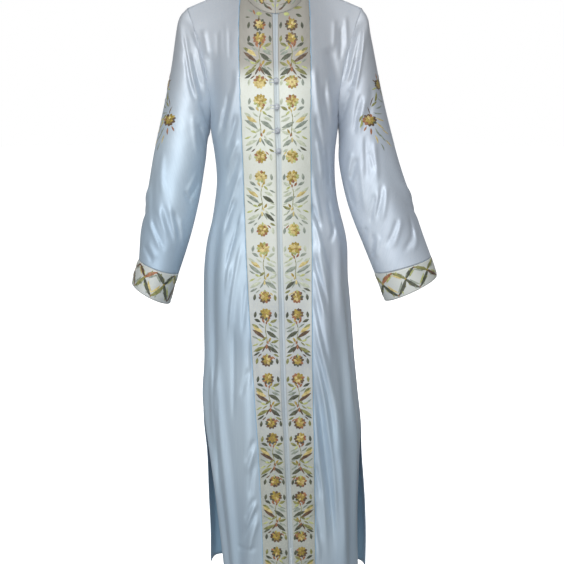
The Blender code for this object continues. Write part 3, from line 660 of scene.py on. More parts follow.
sleeveFolds = {
    "right": {
        "front": (
            (4.6, -3.7, 0, -172, -296, -166, -323, -159, -362),
            (5.5, 3, 0, -184, -273, -181, -322, -175, -377),
            (4.4, -2.6, 0, -207, -449, -199, -468, -189, -490),
            (4.4, -3, 0, -173, -430, -184, -451, -199, -477),
            (5.1, 2.8, 0, -176, -405, -190, -436, -205, -462),
            (6.9, -3, 0, -275, -383, -282, -450, -281, -508, -270, -548),
            (4.4, -3.5, 0, -257, -470, -251, -493, -243, -527, -229, -579),
            (4.4, 3.4, 0, -241, -479, -233, -521, -224, -563),
            (4.4, 3.5, 0, -267, -482, -259, -516, -245, -561),
            (4.4, -3.5, 0, -284, -513, -272, -539, -250, -589),
            (4.4, 3.5, 0, -292, -514, -279, -544, -257, -591),
            (4.4, -3, 0, -230, -493, -223, -530, -217, -569),
            (4.4, -3.2, 0, -305, -575, -292, -595, -278, -617),
            (4.4, 2.8, 0, -294, -564, -282, -585, -268, -607),
            (4.4, 2.4, 0, -215, -508, -212, -546, -211, -581),
            (6.9, 3, 0, -254, -358, -259, -416, -252, -470),
        ),
        "back": (
            (8, 3.6, 0, -285, -400, -245, -450, -190, -480),
            (8, -3.4, 0, -290, -440, -250, -490, -200, -515),
            (8, 3.6, 0, -300, -490, -262, -535, -214, -560),
            (9, 2.6, 0, -220, -160, -214, -280, -224, -390),
        ),
        "right": (
            (8, 3, 0, -60, -440, -20, -480, 20, -520),
            (8, -2.8, 0, -64, -480, -24, -520, 16, -560),
        ),
    },
    "left": {
        "front": (
            (4.6, -3.7, 0, 196, -228, 184, -277, 179, -327),
            (5.1, 3.4, 0, 206, -237, 195, -286, 189, -335),
            (5.5, -2.6, 0, 219, -211, 219, -246, 211, -295),
            (5.1, -3.4, 0, 206, -317, 207, -366, 213, -434),
            (6, 3.6, 0, 225, -331, 230, -380, 233, -438),
            (4.4, -2.4, 0, 212, -357, 221, -380, 230, -407),
            (5.1, -3.4, 0, 188, -371, 181, -403, 173, -437),
            (5.1, 3.6, 0, 176, -358, 170, -391, 167, -424),
            (5.5, 3, 0, 194, -380, 200, -439, 208, -505),
            (4.4, -3.5, 0, 246, -429, 241, -470, 231, -522),
            (4.4, -3.2, 0, 229, -452, 224, -489, 219, -532),
            (4.4, 3.2, 0, 237, -447, 233, -479, 225, -522),
            (4.6, 3.4, 0, 256, -434, 253, -479, 244, -526),
            (4.4, -3.4, 0, 283, -512, 272, -548, 255, -582),
            (4.4, 3.2, 0, 292, -508, 283, -548, 268, -586),
            (4.4, -3.5, 0, 310, -506, 321, -551, 307, -576, 293, -595),
            (4.4, 3.4, 0, 322, -533, 332, -565, 317, -591),
            (4.6, -3.6, 0, 229, -546, 226, -580, 224, -617),
            (4.4, 3, 0, 240, -550, 237, -583, 236, -612),
            (4.4, -3.2, 0, 213, -533, 208, -558, 202, -581),
            (6, -3, 0, 164, -419, 174, -456, 184, -498),
        ),
        "back": (
            (8, 3.8, 0, 280, -400, 240, -450, 190, -480),
            (8, -3.4, 0, 292, -440, 252, -490, 204, -520),
            (8, 3.6, 0, 320, -500, 280, -545, 228, -570),
            (9, 2.6, 0, 220, -160, 214, -280, 226, -390),
        ),
        "left": (
            (8, 3, 0, -60, -430, -20, -470, 20, -510),
            (8, -2.8, 0, -64, -470, -24, -510, 16, -550),
        ),
    },
}
bodyTables = (armFolds, bodyFolds)


def foldCloth(obj, tables, middle):
    points = pointsOf(obj.data)
    shift = foldShift(points, tables, middle) + swellShift(points, middle)
    setPoints(obj.data, points + shift)


# the wall's inner faces take the second material
def paintInside(obj, outside, inside):
    mesh = obj.data
    walls = np.empty(len(mesh.polygons), np.int32)
    mesh.polygons.foreach_get("material_index", walls)
    mesh.materials.clear()
    mesh.materials.append(outside)
    mesh.materials.append(inside)
    mesh.polygons.foreach_set("material_index", walls)
    mesh.shade_smooth()


def treeOf(*objects):
    bm = openMesh(*(obj.data for obj in objects))
    tree = BVHTree.FromBMesh(bm)
    bm.free()
    return tree


# the four body panels: flat size, area, and levels of subdivision
panelCuts = {
    "front_left": ((0.27, 1.44), 0.33, 3),
    "front_right": ((0.27, 1.44), 0.33, 3),
    "back_left": ((0.27, 1.45), 0.32, 2),
    "back_right": ((0.27, 1.45), 0.32, 2),
}
panels = {}
for node, (_, _, levels) in panelCuts.items():
    facing, side = node.split("_")
    panels[node] = clothCopy(node, f"{facing}{side.title()}Panel", levels, bodyMiddle)
print("panels smoothed")

bandShape = {
    "lift": 0.0004,
    "thick": 0.0009,
    "seek": 0.0012,             # rays start this far inside the front and reach this far out
    "reach": 0.005,
    "placketWidth": 0.028,
    "placketX": (0.003, 0.007, 0.017, 0.029, 0.045),
    "placketDown": (0.0, 0.353, 0.695, 1.083, 1.6),
}


# a band's sheet is the front's own outer faces, found under the band's node
def bandSheet(side):
    cadBand = treeOf(nodes[f"band_{side}"])
    bm = openMesh(panels[f"front_{side}"].data)
    drop = []
    for face in bm.faces:
        start = face.calc_center_median() - face.normal * bandShape["seek"]
        hit = cadBand.ray_cast(start, face.normal, bandShape["reach"])[0]
        if hit is None or face.normal.y > 0.2:
            drop.append(face)
    bmesh.ops.delete(bm, geom=drop, context="FACES")
    return newObject(f"band{side.title()}Cloth", newMesh(f"band{side.title()}Sheet", bm))


bands = {side: bandSheet(side) for side in signs}

for node, panel in panels.items():
    paintInside(panel, satinBody, shadedSatinInside)
    if node.startswith("front"):
        panel.data.materials.append(placketMaterial)
        for face in panel.data.polygons:
            line = np.interp(-face.center.z, bandShape["placketDown"], bandShape["placketX"])
            beside = abs(face.center.x - line) < bandShape["placketWidth"] / 2
            if face.material_index == 0 and beside:
                face.material_index = 2
    foldCloth(panel, bodyTables, bodyMiddle)
    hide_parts(node)
    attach(panel, "root")
print("panels folded")

for side, band in bands.items():
    foldCloth(band, bodyTables, bodyMiddle)
    bm = openMesh(band.data)
    for vert in bm.verts:
        vert.co += vert.normal * bandShape["lift"]
    bm.to_mesh(band.data)
    bm.free()
    wall = band.modifiers.new("wall", "SOLIDIFY")
    wall.thickness = bandShape["thick"]
    wall.offset = 1.0
    applyModifiers(band)
    band.data.materials.clear()
    band.data.materials.append(bandMaterial)
    band.data.polygons.foreach_set("material_index", np.zeros(len(band.data.polygons), np.int32))
    band.data.shade_smooth()
    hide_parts(f"band_{side}")
    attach(band, "root")
print("bands made")

sleeves, cuffs = {}, {}
for side in signs:
    middle = sleeveMiddle(side)
    sleeve = clothCopy(f"sleeve_{side}", f"sleeve{side.title()}Cloth", 3, middle)
    paintInside(sleeve, sleeveMaterials[side], shadedSatinInside)
    foldCloth(sleeve, (armFolds, sleeveFolds[side]), middle)
    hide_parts(f"sleeve_{side}")
    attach(sleeve, "root")
    cuff = clothCopy(f"cuff_{side}", f"cuff{side.title()}Cloth", 3, middle)
    paintInside(cuff, cuffMaterials[side], shadedSatinInside)
    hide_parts(f"cuff_{side}")
    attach(cuff, "root")
    sleeves[side], cuffs[side] = sleeve, cuff
print("sleeves and cuffs made")

collar = clothCopy("collar", "collarCloth", 3, bodyMiddle)
paintInside(collar, collarMaterial, shadedSatinInside)
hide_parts("collar")
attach(collar, "root")
print("collar made")


# a place on a surface is found by a ray from outside, so stitches lie on the folds
class Placer:
    def __init__(self, tree, rayAt, far=0.4):
        self.tree = tree
        self.rayAt = rayAt      # gives a start and the way out for two flat coordinates
        self.far = far          # rays stop short of the garment's other side

    def at(self, across, up):
        start, out = self.rayAt(across, up)
        hit, normal, _, _ = self.tree.ray_cast(start, -out, self.far)
        if hit is None:
            return None
        return hit, normal if normal.dot(out) > 0 else -normal


def newStitching():
    bm = bmesh.new()
    bm.loops.layers.uv.new("stitch")
    return bm


def finishStitching(bm, name):
    mesh = newMesh(name, bm)
    for material in threads:
        mesh.materials.append(material)
    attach(newObject(name, mesh), "root")


edgeSink = -0.00005     # a stitched shape's edge lies this far in the cloth


# lays a flat shape on the surface, or drops it where a point finds none: the rows give
# each point's place from the shape's middle, its rise, and its place on the stitch map
def layDown(bm, placer, across, up, rows, tone):
    for vert, (x, y, rise, _) in rows.items():
        found = placer.at(across + x, up + y)
        if found is None:
            bmesh.ops.delete(bm, geom=list(rows), context="VERTS")
            return
        vert.co = found[0] + found[1] * rise
    uv = bm.loops.layers.uv.active
    faces = {face for vert in rows for face in vert.link_faces}
    for face in faces:
        face.normal_update()
        face.material_index = threadNames.index(tone)
        face.smooth = True
        for loop in face.loops:
            loop[uv].uv = rows[loop.vert][3]
    out = placer.at(across, up)
    if out is not None and sum(face.normal.dot(out[1]) for face in faces) < 0:
        bmesh.ops.reverse_faces(bm, faces=list(faces))


# one leaf, petal or stem in satin stitch: a grid drawn to a point at its ends, domed and bent
def addLeaf(bm, placer, across, up, angle, length, width, tone, height=0.0007, bend=0.0,
            blunt=0.0, grid=(4, 2)):
    made = bmesh.ops.create_grid(bm, x_segments=grid[0], y_segments=grid[1], size=0.5)["verts"]
    cosine, sine = math.cos(math.radians(angle)), math.sin(math.radians(angle))
    rows = {}
    for vert in made:
        along, side = vert.co.x, vert.co.y * 2
        full = math.sin(math.pi * min(along + 0.52, 0.98)) ** (0.75 - 0.35 * blunt)
        x = along * length
        out = side * width / 2 * max(full, 0.12)
        y = out + bend * length * (1 - (2 * along) ** 2)
        rise = height * (1 - side * side) * max(full, 0.2) ** 0.5 + 0.00008
        rows[vert] = (x * cosine - y * sine, x * sine + y * cosine,
                      rise if abs(side) < 0.9 else edgeSink, (x, out))
    layDown(bm, placer, across, up, rows, tone)


def addDisc(bm, placer, across, up, radius, tone, height, around):
    made = bmesh.ops.create_circle(bm, cap_ends=True, cap_tris=True, segments=around,
                                   radius=radius)["verts"]
    rows = {}
    for vert in made:
        x, y = vert.co.xy
        rows[vert] = (x, y, height if math.hypot(x, y) < radius / 2 else edgeSink, (x, y))
    layDown(bm, placer, across, up, rows, tone)


stitchShape = {"length": 0.0032, "width": 0.0009, "pitch": 0.0047, "height": 0.0004,
               "start": 0.004}


def addStitches(bm, placer, route):     # one row of seam stitches along flat places
    shape = stitchShape
    route = np.array(route)
    gone = lengthsAlong(route)
    for place in np.arange(shape["start"], gone[-1] - shape["start"], shape["pitch"]):
        x, y, nextX, nextY = (np.interp(place + more, gone, route[:, axis])
                              for more in (0.0, 0.001) for axis in (0, 1))
        addLeaf(bm, placer, x, y, math.degrees(math.atan2(nextY - y, nextX - x)),
                shape["length"], shape["width"], "seam", shape["height"], blunt=1.0, grid=(2, 1))


flowerShape = {     # petals: how many, reach from the middle, length, width, height, in metres
    "ring": (11, 0.0088, 0.0072, 0.0064, 0.0008),
    "petals": (7, 0.0048, 0.0080, 0.0066, 0.0013),
    "ground": 0.0086,
    "heart": 0.0024,
    "seed": 0.0008,
    "seedReach": 0.0016,
}
flowerTones = {     # ring and petals, plain or pale; the pale tones are painted light
    False: (("brown", "rust", "brown", "darkLeaf"), ("gold", "gold", "gold", "lightGold")),
    True: (("gold", "rust", "lightGold", "lime"), ("lightGold", "gold", "lightGold")),
}


# with pale, the flower takes lighter tones that are painted light
def addFlower(bm, placer, across, up, size=1.0, tilt=0.0, pale=False):
    shape = flowerShape
    addDisc(bm, placer, across, up, shape["ground"] * size, "rust" if pale else "brown", 0.0003, 12)
    for part, tones in zip(("ring", "petals"), flowerTones[pale]):
        count, reach, length, width, height = shape[part]
        for k in range(count):
            angle = 360 * (k + 0.5) / count + tilt + chance.uniform(-6, 6)
            turn = math.radians(angle)
            name = chance.choice(tones)
            if part == "ring" and math.sin(turn) > 0.55 and chance.random() < 0.5:
                name = "gold"
            addLeaf(bm, placer, across + reach * size * math.cos(turn),
                    up + reach * size * math.sin(turn), angle,
                    length * size * chance.uniform(0.9, 1.1), width * size, name, height,
                    blunt=1.0, grid=(3, 2))
    addDisc(bm, placer, across, up, shape["heart"] * size, "rust", 0.0017, 8)
    reach = shape["seedReach"] * size
    for k in range(4):
        turn = math.radians(90 * k + tilt)
        addDisc(bm, placer, across + reach * math.cos(turn), up + reach * math.sin(turn),
                shape["seed"] * size, "lightGold", 0.0022, 6)


# round cords along routes of points, as one mesh with filled ends
def cordObject(name, routes, radius, material, closed=False):
    curve = bpy.data.curves.new(name, "CURVE")
    curve.dimensions = "3D"
    curve.bevel_depth = radius
    curve.bevel_resolution = 1
    curve.use_fill_caps = True
    for route in routes:
        line = curve.splines.new("POLY")
        line.points.add(len(route) - 1)
        line.use_cyclic_u = closed
        for point, place in zip(line.points, route):
            point.co = (*place, 1.0)
    holder = newObject(f"{name}Line", curve)
    mesh = evaluated(holder)
    bpy.data.objects.remove(holder)
    bpy.data.curves.remove(curve)
    bm = openMesh(mesh)
    bmesh.ops.remove_doubles(bm, verts=bm.verts, dist=0.00002)
    bmesh.ops.recalc_face_normals(bm, faces=bm.faces)
    bm.to_mesh(mesh)
    bm.free()
    mesh.materials.clear()
    mesh.materials.append(material)
    mesh.shade_smooth()
    obj = newObject(name, mesh)
    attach(obj, "root")
    return obj


# the embroidered bands: pairs of flowers by height, with leaves from pair to pair
bandPairs = ((-0.0824, -0.1118), (-0.2053, -0.2462), (-0.3688, -0.4133), (-0.5354, -0.5767),
             (-0.6886, -0.7288), (-0.8391, -0.8829), (-0.9914, -1.0289), (-1.1379, -1.1764),
             (-1.2778, -1.3174), (-1.4250, -1.4650))
# leaves in a gap: tone, across in mm, place down the gap, angle, length, width
gapLeaves = (
    ("olive", 18, 0.10, 28, 17, 7.8), ("darkLeaf", -19, 0.10, -28, 17, 7.3),
    ("gold", 6, 0.09, 62, 9, 5.1), ("rust", -6, 0.11, -58, 11, 5.5), ("rust", 2, 0.14, 80, 9, 4.4),
    ("lime", 10, 0.18, -42, 13, 5.5), ("olive", -27, 0.22, -34, 20, 7.3),
    ("lightGold", -19, 0.29, -34, 28, 9.8), ("brown", -20, 0.39, -33, 37, 9.3),
    ("greyLeaf", 16, 0.29, -28, 22, 7.3), ("darkLeaf", 15, 0.39, -31, 31, 10.5),
    ("olive", -4, 0.49, 40, 15, 6.6), ("lime", -15, 0.52, -20, 14, 5.5),
    ("gold", 8, 0.51, 60, 12, 5.5), ("olive", 20, 0.54, 24, 19, 7.3),
    ("rust", 3, 0.57, 100, 9, 4.4), ("brown", -5, 0.70, 61, 21, 4.4),
    ("brown", 6, 0.70, -61, 21, 4.4), ("rust", 0, 0.66, 90, 12, 6.6),
    ("olive", -20, 0.72, 30, 30, 9.3), ("darkLeaf", -25, 0.82, 30, 19, 5.5),
    ("darkLeaf", 19, 0.72, -38, 28, 9.8), ("olive", 25, 0.85, -30, 14, 5.5),
    ("rust", -7, 0.88, 48, 11, 5.1), ("rust", 7, 0.88, -48, 11, 5.1),
    ("lime", 0, 0.85, 90, 10, 5.5), ("greyLeaf", -10, 0.21, -36, 17, 4.6),
    ("greyLeaf", 25, 0.24, -24, 16, 4.4),
    ("greyLeaf", -27, 0.46, -30, 16, 4.4), ("greyLeaf", 24, 0.46, -30, 14, 4.4),
    ("olive", -12, 0.60, 38, 14, 4.0), ("greyLeaf", 12, 0.63, -50, 14, 4.2),
    ("lime", -28, 0.62, 26, 15, 4.6), ("greyLeaf", 26, 0.66, -34, 15, 4.4),
    ("brown", -16, 0.85, 40, 12, 3.4), ("rust", 15, 0.90, -44, 11, 3.4),
)

# the leaves above the topmost flowers, set as in a gap but by x and z in mm
topLeaves = {
    "right": (
        ("brown", -49, -37, -38, 21, 6.6), ("lime", -34, -58, 0, 14, 9.0),
        ("darkLeaf", -59, -66, 0, 10, 3.4), ("darkLeaf", -13, -61, -30, 16, 5.6),
        ("olive", -24, -54, 24, 12, 4.6), ("rust", -45, -55, -66, 12, 4.4),
        ("greyLeaf", -54, -52, -20, 14, 5.0), ("olive", -34, -66, 90, 8, 3.4)),
    "left": (
        ("olive", 18, -55, 48, 17, 5.4), ("lime", 27, -59, 0, 13, 9.0),
        ("darkLeaf", 41, -56, -20, 18, 6.6), ("darkLeaf", 54, -62, -22, 14, 7.4),
        ("brown", 45, -36, 34, 24, 6.6), ("olive", 52, -45, 8, 20, 7.0),
        ("greyLeaf", 43, -48, 4, 20, 6.0), ("rust", 33, -67, 70, 8, 3.4)),
}

# where the flowers stand across each band, as z and x
flowerColumns = {
    "right": ((-1.440, 0.0065), (-1.302, 0.0039), (-1.156, 0.0014), (-1.011, -0.0069),
              (-0.863, -0.0168), (-0.707, -0.0216), (-0.556, -0.0262), (-0.389, -0.0307),
              (-0.231, -0.0314), (-0.098, -0.0329)),
    "left": ((-1.440, 0.0655), (-1.302, 0.0638), (-1.156, 0.0617), (-1.011, 0.0597),
             (-0.863, 0.0536), (-0.707, 0.0524), (-0.556, 0.0448), (-0.369, 0.0394),
             (-0.218, 0.0392), (-0.096, 0.0377)),
}
# pairs drawn in lighter tones as painted light, by their place, and the tones that leaves take
# there
paintedLightPairs = (1, 2, 3)
paintedLightTones = {"darkLeaf": "greyLeaf", "brown": "greyLeaf", "olive": "paleLeaf",
             "greyLeaf": "paleLeaf", "rust": "lightGold"}
bandStitch = {
    "lowestFlower": -1.428,
    "lowestLeaf": -1.425,
    "flowerReach": 0.0145,
    "sideLeaf": (0.0235, 0.0150, 0.0072),   # away from the flower, length, width
    "sideReach": 0.0035,
    "margin": 0.0012,                       # kept bare along the edges
    "seam": 0.0028,                         # stitches this far inside the edges
    "stems": (0.22, 0.30, 0.38, 0.46, 0.54),
    "stem": (0.0135, 0.0020),
    "piping": 0.0010,
}


# the first and last of the steps across at which a sheet is met, for each height
def edgeRows(placer, heights, steps):
    rows = []
    for z in heights:
        hits = [step for step in steps if placer.at(step, z)]
        if hits:
            rows.append((z, hits[0], hits[-1]))
    return np.array(rows)


for side, band in bands.items():
    shape = bandStitch
    sign = signs[side]
    flip = -sign        # the right band's drawing, mirrored on the left
    placer = Placer(treeOf(band), lambda x, z: (Vector((x, -0.4, z)), ahead))
    edges = edgeRows(placer, np.arange(-1.436, -0.004, 0.012), sign * np.arange(-0.06, 0.14, 0.001))
    column = np.array(flowerColumns[side])
    bm = newStitching()

    # a place across the band, kept far enough from its edges for a piece of that reach
    def acrossAt(z, away, reach):
        low, high = sorted(np.interp(z, edges[:, 0], edges[:, end]) for end in (1, 2))
        x = np.interp(z, column[:, 0], column[:, 1]) + away
        return min(max(x, low + reach + shape["margin"]), high - reach - shape["margin"])

    for name, x, z, angle, length, width in topLeaves[side]:
        addLeaf(bm, placer, x / 1000, z / 1000, angle, length / 1000, width / 1000, name)
    for k, (high, low) in enumerate(bandPairs):
        # a pale pair's flowers and leaves take lighter tones: painted light
        pale = k in paintedLightPairs
        leafTones = ("paleLeaf", "greyLeaf") if pale else ("darkLeaf", "darkLeaf", "olive")
        away, length, width = shape["sideLeaf"]
        for z, tilt in ((high, 10), (low, 32)):
            if z < shape["lowestFlower"]:
                continue
            addFlower(bm, placer, acrossAt(z, 0.0, shape["flowerReach"]), z,
                      chance.uniform(1.14, 1.24), tilt * flip, pale)
            for way in (-1, 1):
                name = chance.choice(leafTones)
                addLeaf(bm, placer, acrossAt(z, way * away, shape["sideReach"]), z - 0.001,
                        90 + 8 * way, length, width, name)
        if k + 1 == len(bandPairs):
            break
        gap = low - bandPairs[k + 1][0]
        for name, across, down, angle, length, width in gapLeaves:
            z = low - 0.004 - gap * down
            if z < shape["lowestLeaf"]:
                continue
            turn = math.radians(angle)
            reach = (abs(math.cos(turn)) * length + abs(math.sin(turn)) * width) / 2000
            if pale and chance.random() < 0.8:
                name = paintedLightTones.get(name, name)
            addLeaf(bm, placer, acrossAt(z, flip * across / 1000, reach), z,
                    (angle if flip > 0 else 180 - angle) + chance.uniform(-4, 4),
                    length / 1000 * chance.uniform(0.94, 1.04), width / 1000, name,
                    height=0.0009, bend=chance.uniform(-0.06, 0.06))
        for start in shape["stems"]:        # a thin stem winds down the gap
            z = low - gap * (start + 0.04)
            if z > shape["lowestLeaf"]:
                addLeaf(bm, placer, acrossAt(z, flip * 0.0012 * math.sin(start * 16), 0.002), z,
                        90 + 12 * math.cos(start * 16) * flip, *shape["stem"], "olive", 0.0005)
    for end, inward in ((1, 1), (2, -1)):       # a row of stitches along both edges
        inside = inward * sign * shape["seam"]
        addStitches(bm, placer, [(row[end] + inside, row[0]) for row in edges[1:-1]])
    finishStitching(bm, f"band{side.title()}Embroidery")

    # piping where the band's outer edge meets the front
    front = Placer(treeOf(panels[f"front_{side}"]), placer.rayAt)
    route = [front.at(x + sign * 0.0012, z) for z, _, x in edges]
    route = [found[0] + found[1] * 0.0006 for found in route if found]
    piping = cordObject(f"band{side.title()}Piping", [route], shape["piping"], pipingMaterial)
print("bands embroidered")

# ball buttons wound with cord, each in a loop of twisted cord
buttonShape = {"core": 0.0045, "wound": 0.0049, "uneven": 0.0002, "cord": 0.0006,
               "turns": (9, 8), "points": 300}
loopShape = {"radius": 0.0061, "opening": 32, "tail": 0.010, "strand": 0.00055, "pitch": 0.0030}
buttonMaterial = cordCloth("buttonCord", buttonShape["cord"])
loopMaterial = cordCloth("loopCord", loopShape["strand"])


def middleOf(node):     # of a node's box, moved with the folds below it
    points = pointsOf(nodes[node].data)
    middle = ((points.min(axis=0) + points.max(axis=0)) / 2)[None]
    shift = foldShift(middle, bodyTables, bodyMiddle) + swellShift(middle, bodyMiddle)
    return (middle + shift)[0]


def loopRoute(seat, y):
    radius, tail = loopShape["radius"], loopShape["tail"]
    opening = math.radians(loopShape["opening"])
    cornerX, cornerZ = -radius * math.cos(opening), radius * math.sin(opening)
    flat = [(cornerX - tail * (1 - k / 8), cornerZ) for k in range(8)]
    for k in range(41):
        turn = math.pi - opening - (math.tau - 2 * opening) * k / 40
        flat.append((radius * math.cos(turn), radius * math.sin(turn)))
    flat += [(cornerX - tail * k / 8, -cornerZ) for k in range(1, 9)]
    return np.array([(seat[0] + x, y, seat[2] + z) for x, z in flat])


# two strands wound round one route in a plane square to y
def twisted(route):
    gone = lengthsAlong(route)
    even = np.linspace(0.0, gone[-1], int(gone[-1] / (loopShape["pitch"] / 7)))
    line = np.stack([np.interp(even, gone, route[:, k]) for k in range(3)], axis=1)
    along = np.gradient(line, axis=0)
    along /= np.linalg.norm(along, axis=1)[:, None]
    upright = np.array((0.0, 1.0, 0.0))
    beside = np.cross(along, upright)
    strands = []
    for phase in (0.0, math.pi):
        turn = (even / loopShape["pitch"] * math.tau + phase)[:, None]
        strands.append(line + loopShape["strand"] * 0.85
                       * (np.cos(turn) * beside + np.sin(turn) * upright))
    return strands


first, second = buttonShape["turns"]
turn = np.linspace(0.0, math.tau, buttonShape["points"], endpoint=False)
wound = np.stack([np.cos(first * turn) * np.cos(second * turn),
                  np.sin(first * turn) * np.cos(second * turn), np.sin(second * turn)], axis=1)
wound *= buttonShape["wound"] + buttonShape["uneven"] * np.sin(5 * turn)[:, None]
for number in range(1, 5):
    seat = middleOf(f"button_{number}")
    button = cordObject(f"button{number}", [seat + wound], buttonShape["cord"], buttonMaterial,
                        closed=True)
    bm = openMesh(button.data)
    core = bmesh.ops.create_icosphere(bm, subdivisions=3, radius=buttonShape["core"])["verts"]
    bmesh.ops.translate(bm, verts=core, vec=seat)
    bm.to_mesh(button.data)
    bm.free()
    button.data.shade_smooth()
    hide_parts(f"button_{number}")
    strands = twisted(loopRoute(seat, middleOf(f"loop_{number}")[1]))
    loop = cordObject(f"loop{number}", strands, loopShape["strand"], loopMaterial)
    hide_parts(f"loop_{number}")
print("buttons and loops made")

# the cuffs: slender leaves crossing in a row of X shapes, so diamonds stand between
cuffRings = {   # x and z under and over the arm, then y, at the top and foot of the cuff
    "right": ((-0.2260, -0.6480, -0.3190, -0.6130, -0.041),
              (-0.2470, -0.7190, -0.3365, -0.6680, -0.048)),
    "left": ((0.2345, -0.6470, 0.3670, -0.6080, -0.041),
             (0.2595, -0.7130, 0.3810, -0.6530, -0.048)),
}
# crossed leaves: how many, where the first stands in turns from the front, then the
# cuff's girth and depth
cuffPattern = {
    "right": (7, 0.062, 0.325, 0.068),
    "left": (6, 0.146, 0.345, 0.066),
    "crossing": 0.007,          # up from the cuff's middle
    "reach": {1: 0.0225, -1: 0.0355},
    "far": 0.12,
    "tones": ("darkLeaf", "brown", "olive", "darkLeaf", "rust", "olive"),
    "besideTones": ("lime", "lightGold", "greyLeaf"),
    "smallTones": ("olive", "greyLeaf", "lime"),
}


def cuffPlacer(side, girth, depth):     # in metres round the cuff and up from its middle
    rings = np.array(cuffRings[side])

    def rayAt(around, up):
        down = 0.5 - up / depth
        underX, underZ, overX, overZ, y = rings[0] * (1 - down) + rings[1] * down
        middle = Vector(((underX + overX) / 2, y, (underZ + overZ) / 2))
        over = Vector((overX - underX, 0.0, overZ - underZ)).normalized()
        turn = math.tau * around / girth
        out = over * math.sin(turn) + ahead * math.cos(turn)
        return middle + out * cuffPattern["far"], out
    return Placer(treeOf(cuffs[side]), rayAt, cuffPattern["far"])


for side in signs:
    shape = cuffPattern
    crosses, first, girth, depth = shape[side]
    placer = cuffPlacer(side, girth, depth)
    step = girth / crosses
    cross = shape["crossing"]
    bm = newStitching()
    for k in range(crosses):
        x = girth * first + step * k
        for way in (-1, 1):
            for rise, tall in shape["reach"].items():
                slope = math.degrees(math.atan2(tall, step / 2)) * rise
                angle = slope if way > 0 else 180 - slope
                length = math.hypot(tall, step / 2)
                y = cross + rise * tall / 2
                addLeaf(bm, placer, x + way * step / 4, y, angle + chance.uniform(-2, 2),
                        length * 1.04, 0.0100, chance.choice(shape["tones"]), 0.0010,
                        bend=0.05 * way * rise, blunt=0.45, grid=(6, 2))
                addLeaf(bm, placer, x + way * (step / 4 + 0.0058), y - rise * 0.0020, angle + 3,
                        length * 0.70, 0.0056, chance.choice(shape["besideTones"]), 0.0006,
                        bend=0.06 * way * rise, grid=(5, 2))
                for part in (0.35, 0.75):       # short leaves beside each arm
                    addLeaf(bm, placer, x + way * (step / 2 * part - 0.0045),
                            cross + rise * tall * (part + 0.10), angle + 32 * rise * way,
                            0.0095, 0.0036, chance.choice(shape["smallTones"]), 0.0006)
        addDisc(bm, placer, x, cross, 0.0034, "gold", 0.0012, 8)
        for rise, tall in shape["reach"].items():     # a bud at each diamond's ends
            addLeaf(bm, placer, x + step / 2, cross + rise * tall * 0.96, 90, 0.0064, 0.0036,
                    "rust", 0.0008)
    for y in (depth / 2 - 0.0045, 0.0045 - depth / 2):
        addStitches(bm, placer, [(girth * turn, y) for turn in (-0.5, 0.0, 0.498)])
    finishStitching(bm, f"cuff{side.title()}Embroidery")

# the collar: leaf sprays that run out from the front to both sides
collarShape = {"radius": 0.072, "frontZ": -0.058, "backZ": -0.004, "fall": 1.3,
               "sprays": 12, "pitch": 0.0170, "rows": (0.0035, 0.0340)}
# the leaves nearest the front: round, up, angle, length, width, tone, bend
collarLeaves = ((0.012, 0.028, 66, 0.017, 0.0080, "olive", 0.04),
                (0.030, 0.030, 100, 0.015, 0.0070, "darkLeaf", 0.04),
                (0.006, 0.018, 40, 0.010, 0.0050, "lime", 0.0))


def collarRay(around, up):      # metres round from the front, and up from the seam
    turn = around / collarShape["radius"]
    low = collarShape["frontZ"] if math.cos(turn) > 0 else collarShape["backZ"]
    out = Vector((math.sin(turn), -math.cos(turn), 0.0))
    seam = low * abs(math.cos(turn)) ** collarShape["fall"]
    return Vector((0.002, 0.0, seam + up)) + out * 0.16, out


placer = Placer(treeOf(collar), collarRay, 0.15)
bm = newStitching()
for way in (-1, 1):
    for around, up, angle, length, width, name, bend in collarLeaves:
        addLeaf(bm, placer, way * around, up, 90 - way * angle, length, width, name, bend=bend)
    for k in range(collarShape["sprays"]):
        x = way * (0.009 + k * collarShape["pitch"])
        odd = k % 2
        addLeaf(bm, placer, x, 0.014 if odd else 0.022, 90 - way * (58 if odd else 118), 0.021,
                0.0066, ("lime", "darkLeaf", "olive")[k % 3], bend=0.06)
        addLeaf(bm, placer, x + way * 0.007, 0.025 if odd else 0.010, 90 - way * 70, 0.016,
                0.0054, ("brown", "lightGold", "greyLeaf")[k % 3], bend=-0.05)
        addLeaf(bm, placer, x + way * 0.011, 0.018, 0, 0.017, 0.0013, "brown", 0.0004)
        if k % 3 == 1:
            addFlower(bm, placer, x + way * 0.012, 0.019, 0.62)
for up in collarShape["rows"]:
    for start, end in ((-0.200, -0.004), (0.004, 0.200)):
        addStitches(bm, placer, [(start, up), (end, up)])
finishStitching(bm, "collarEmbroidery")

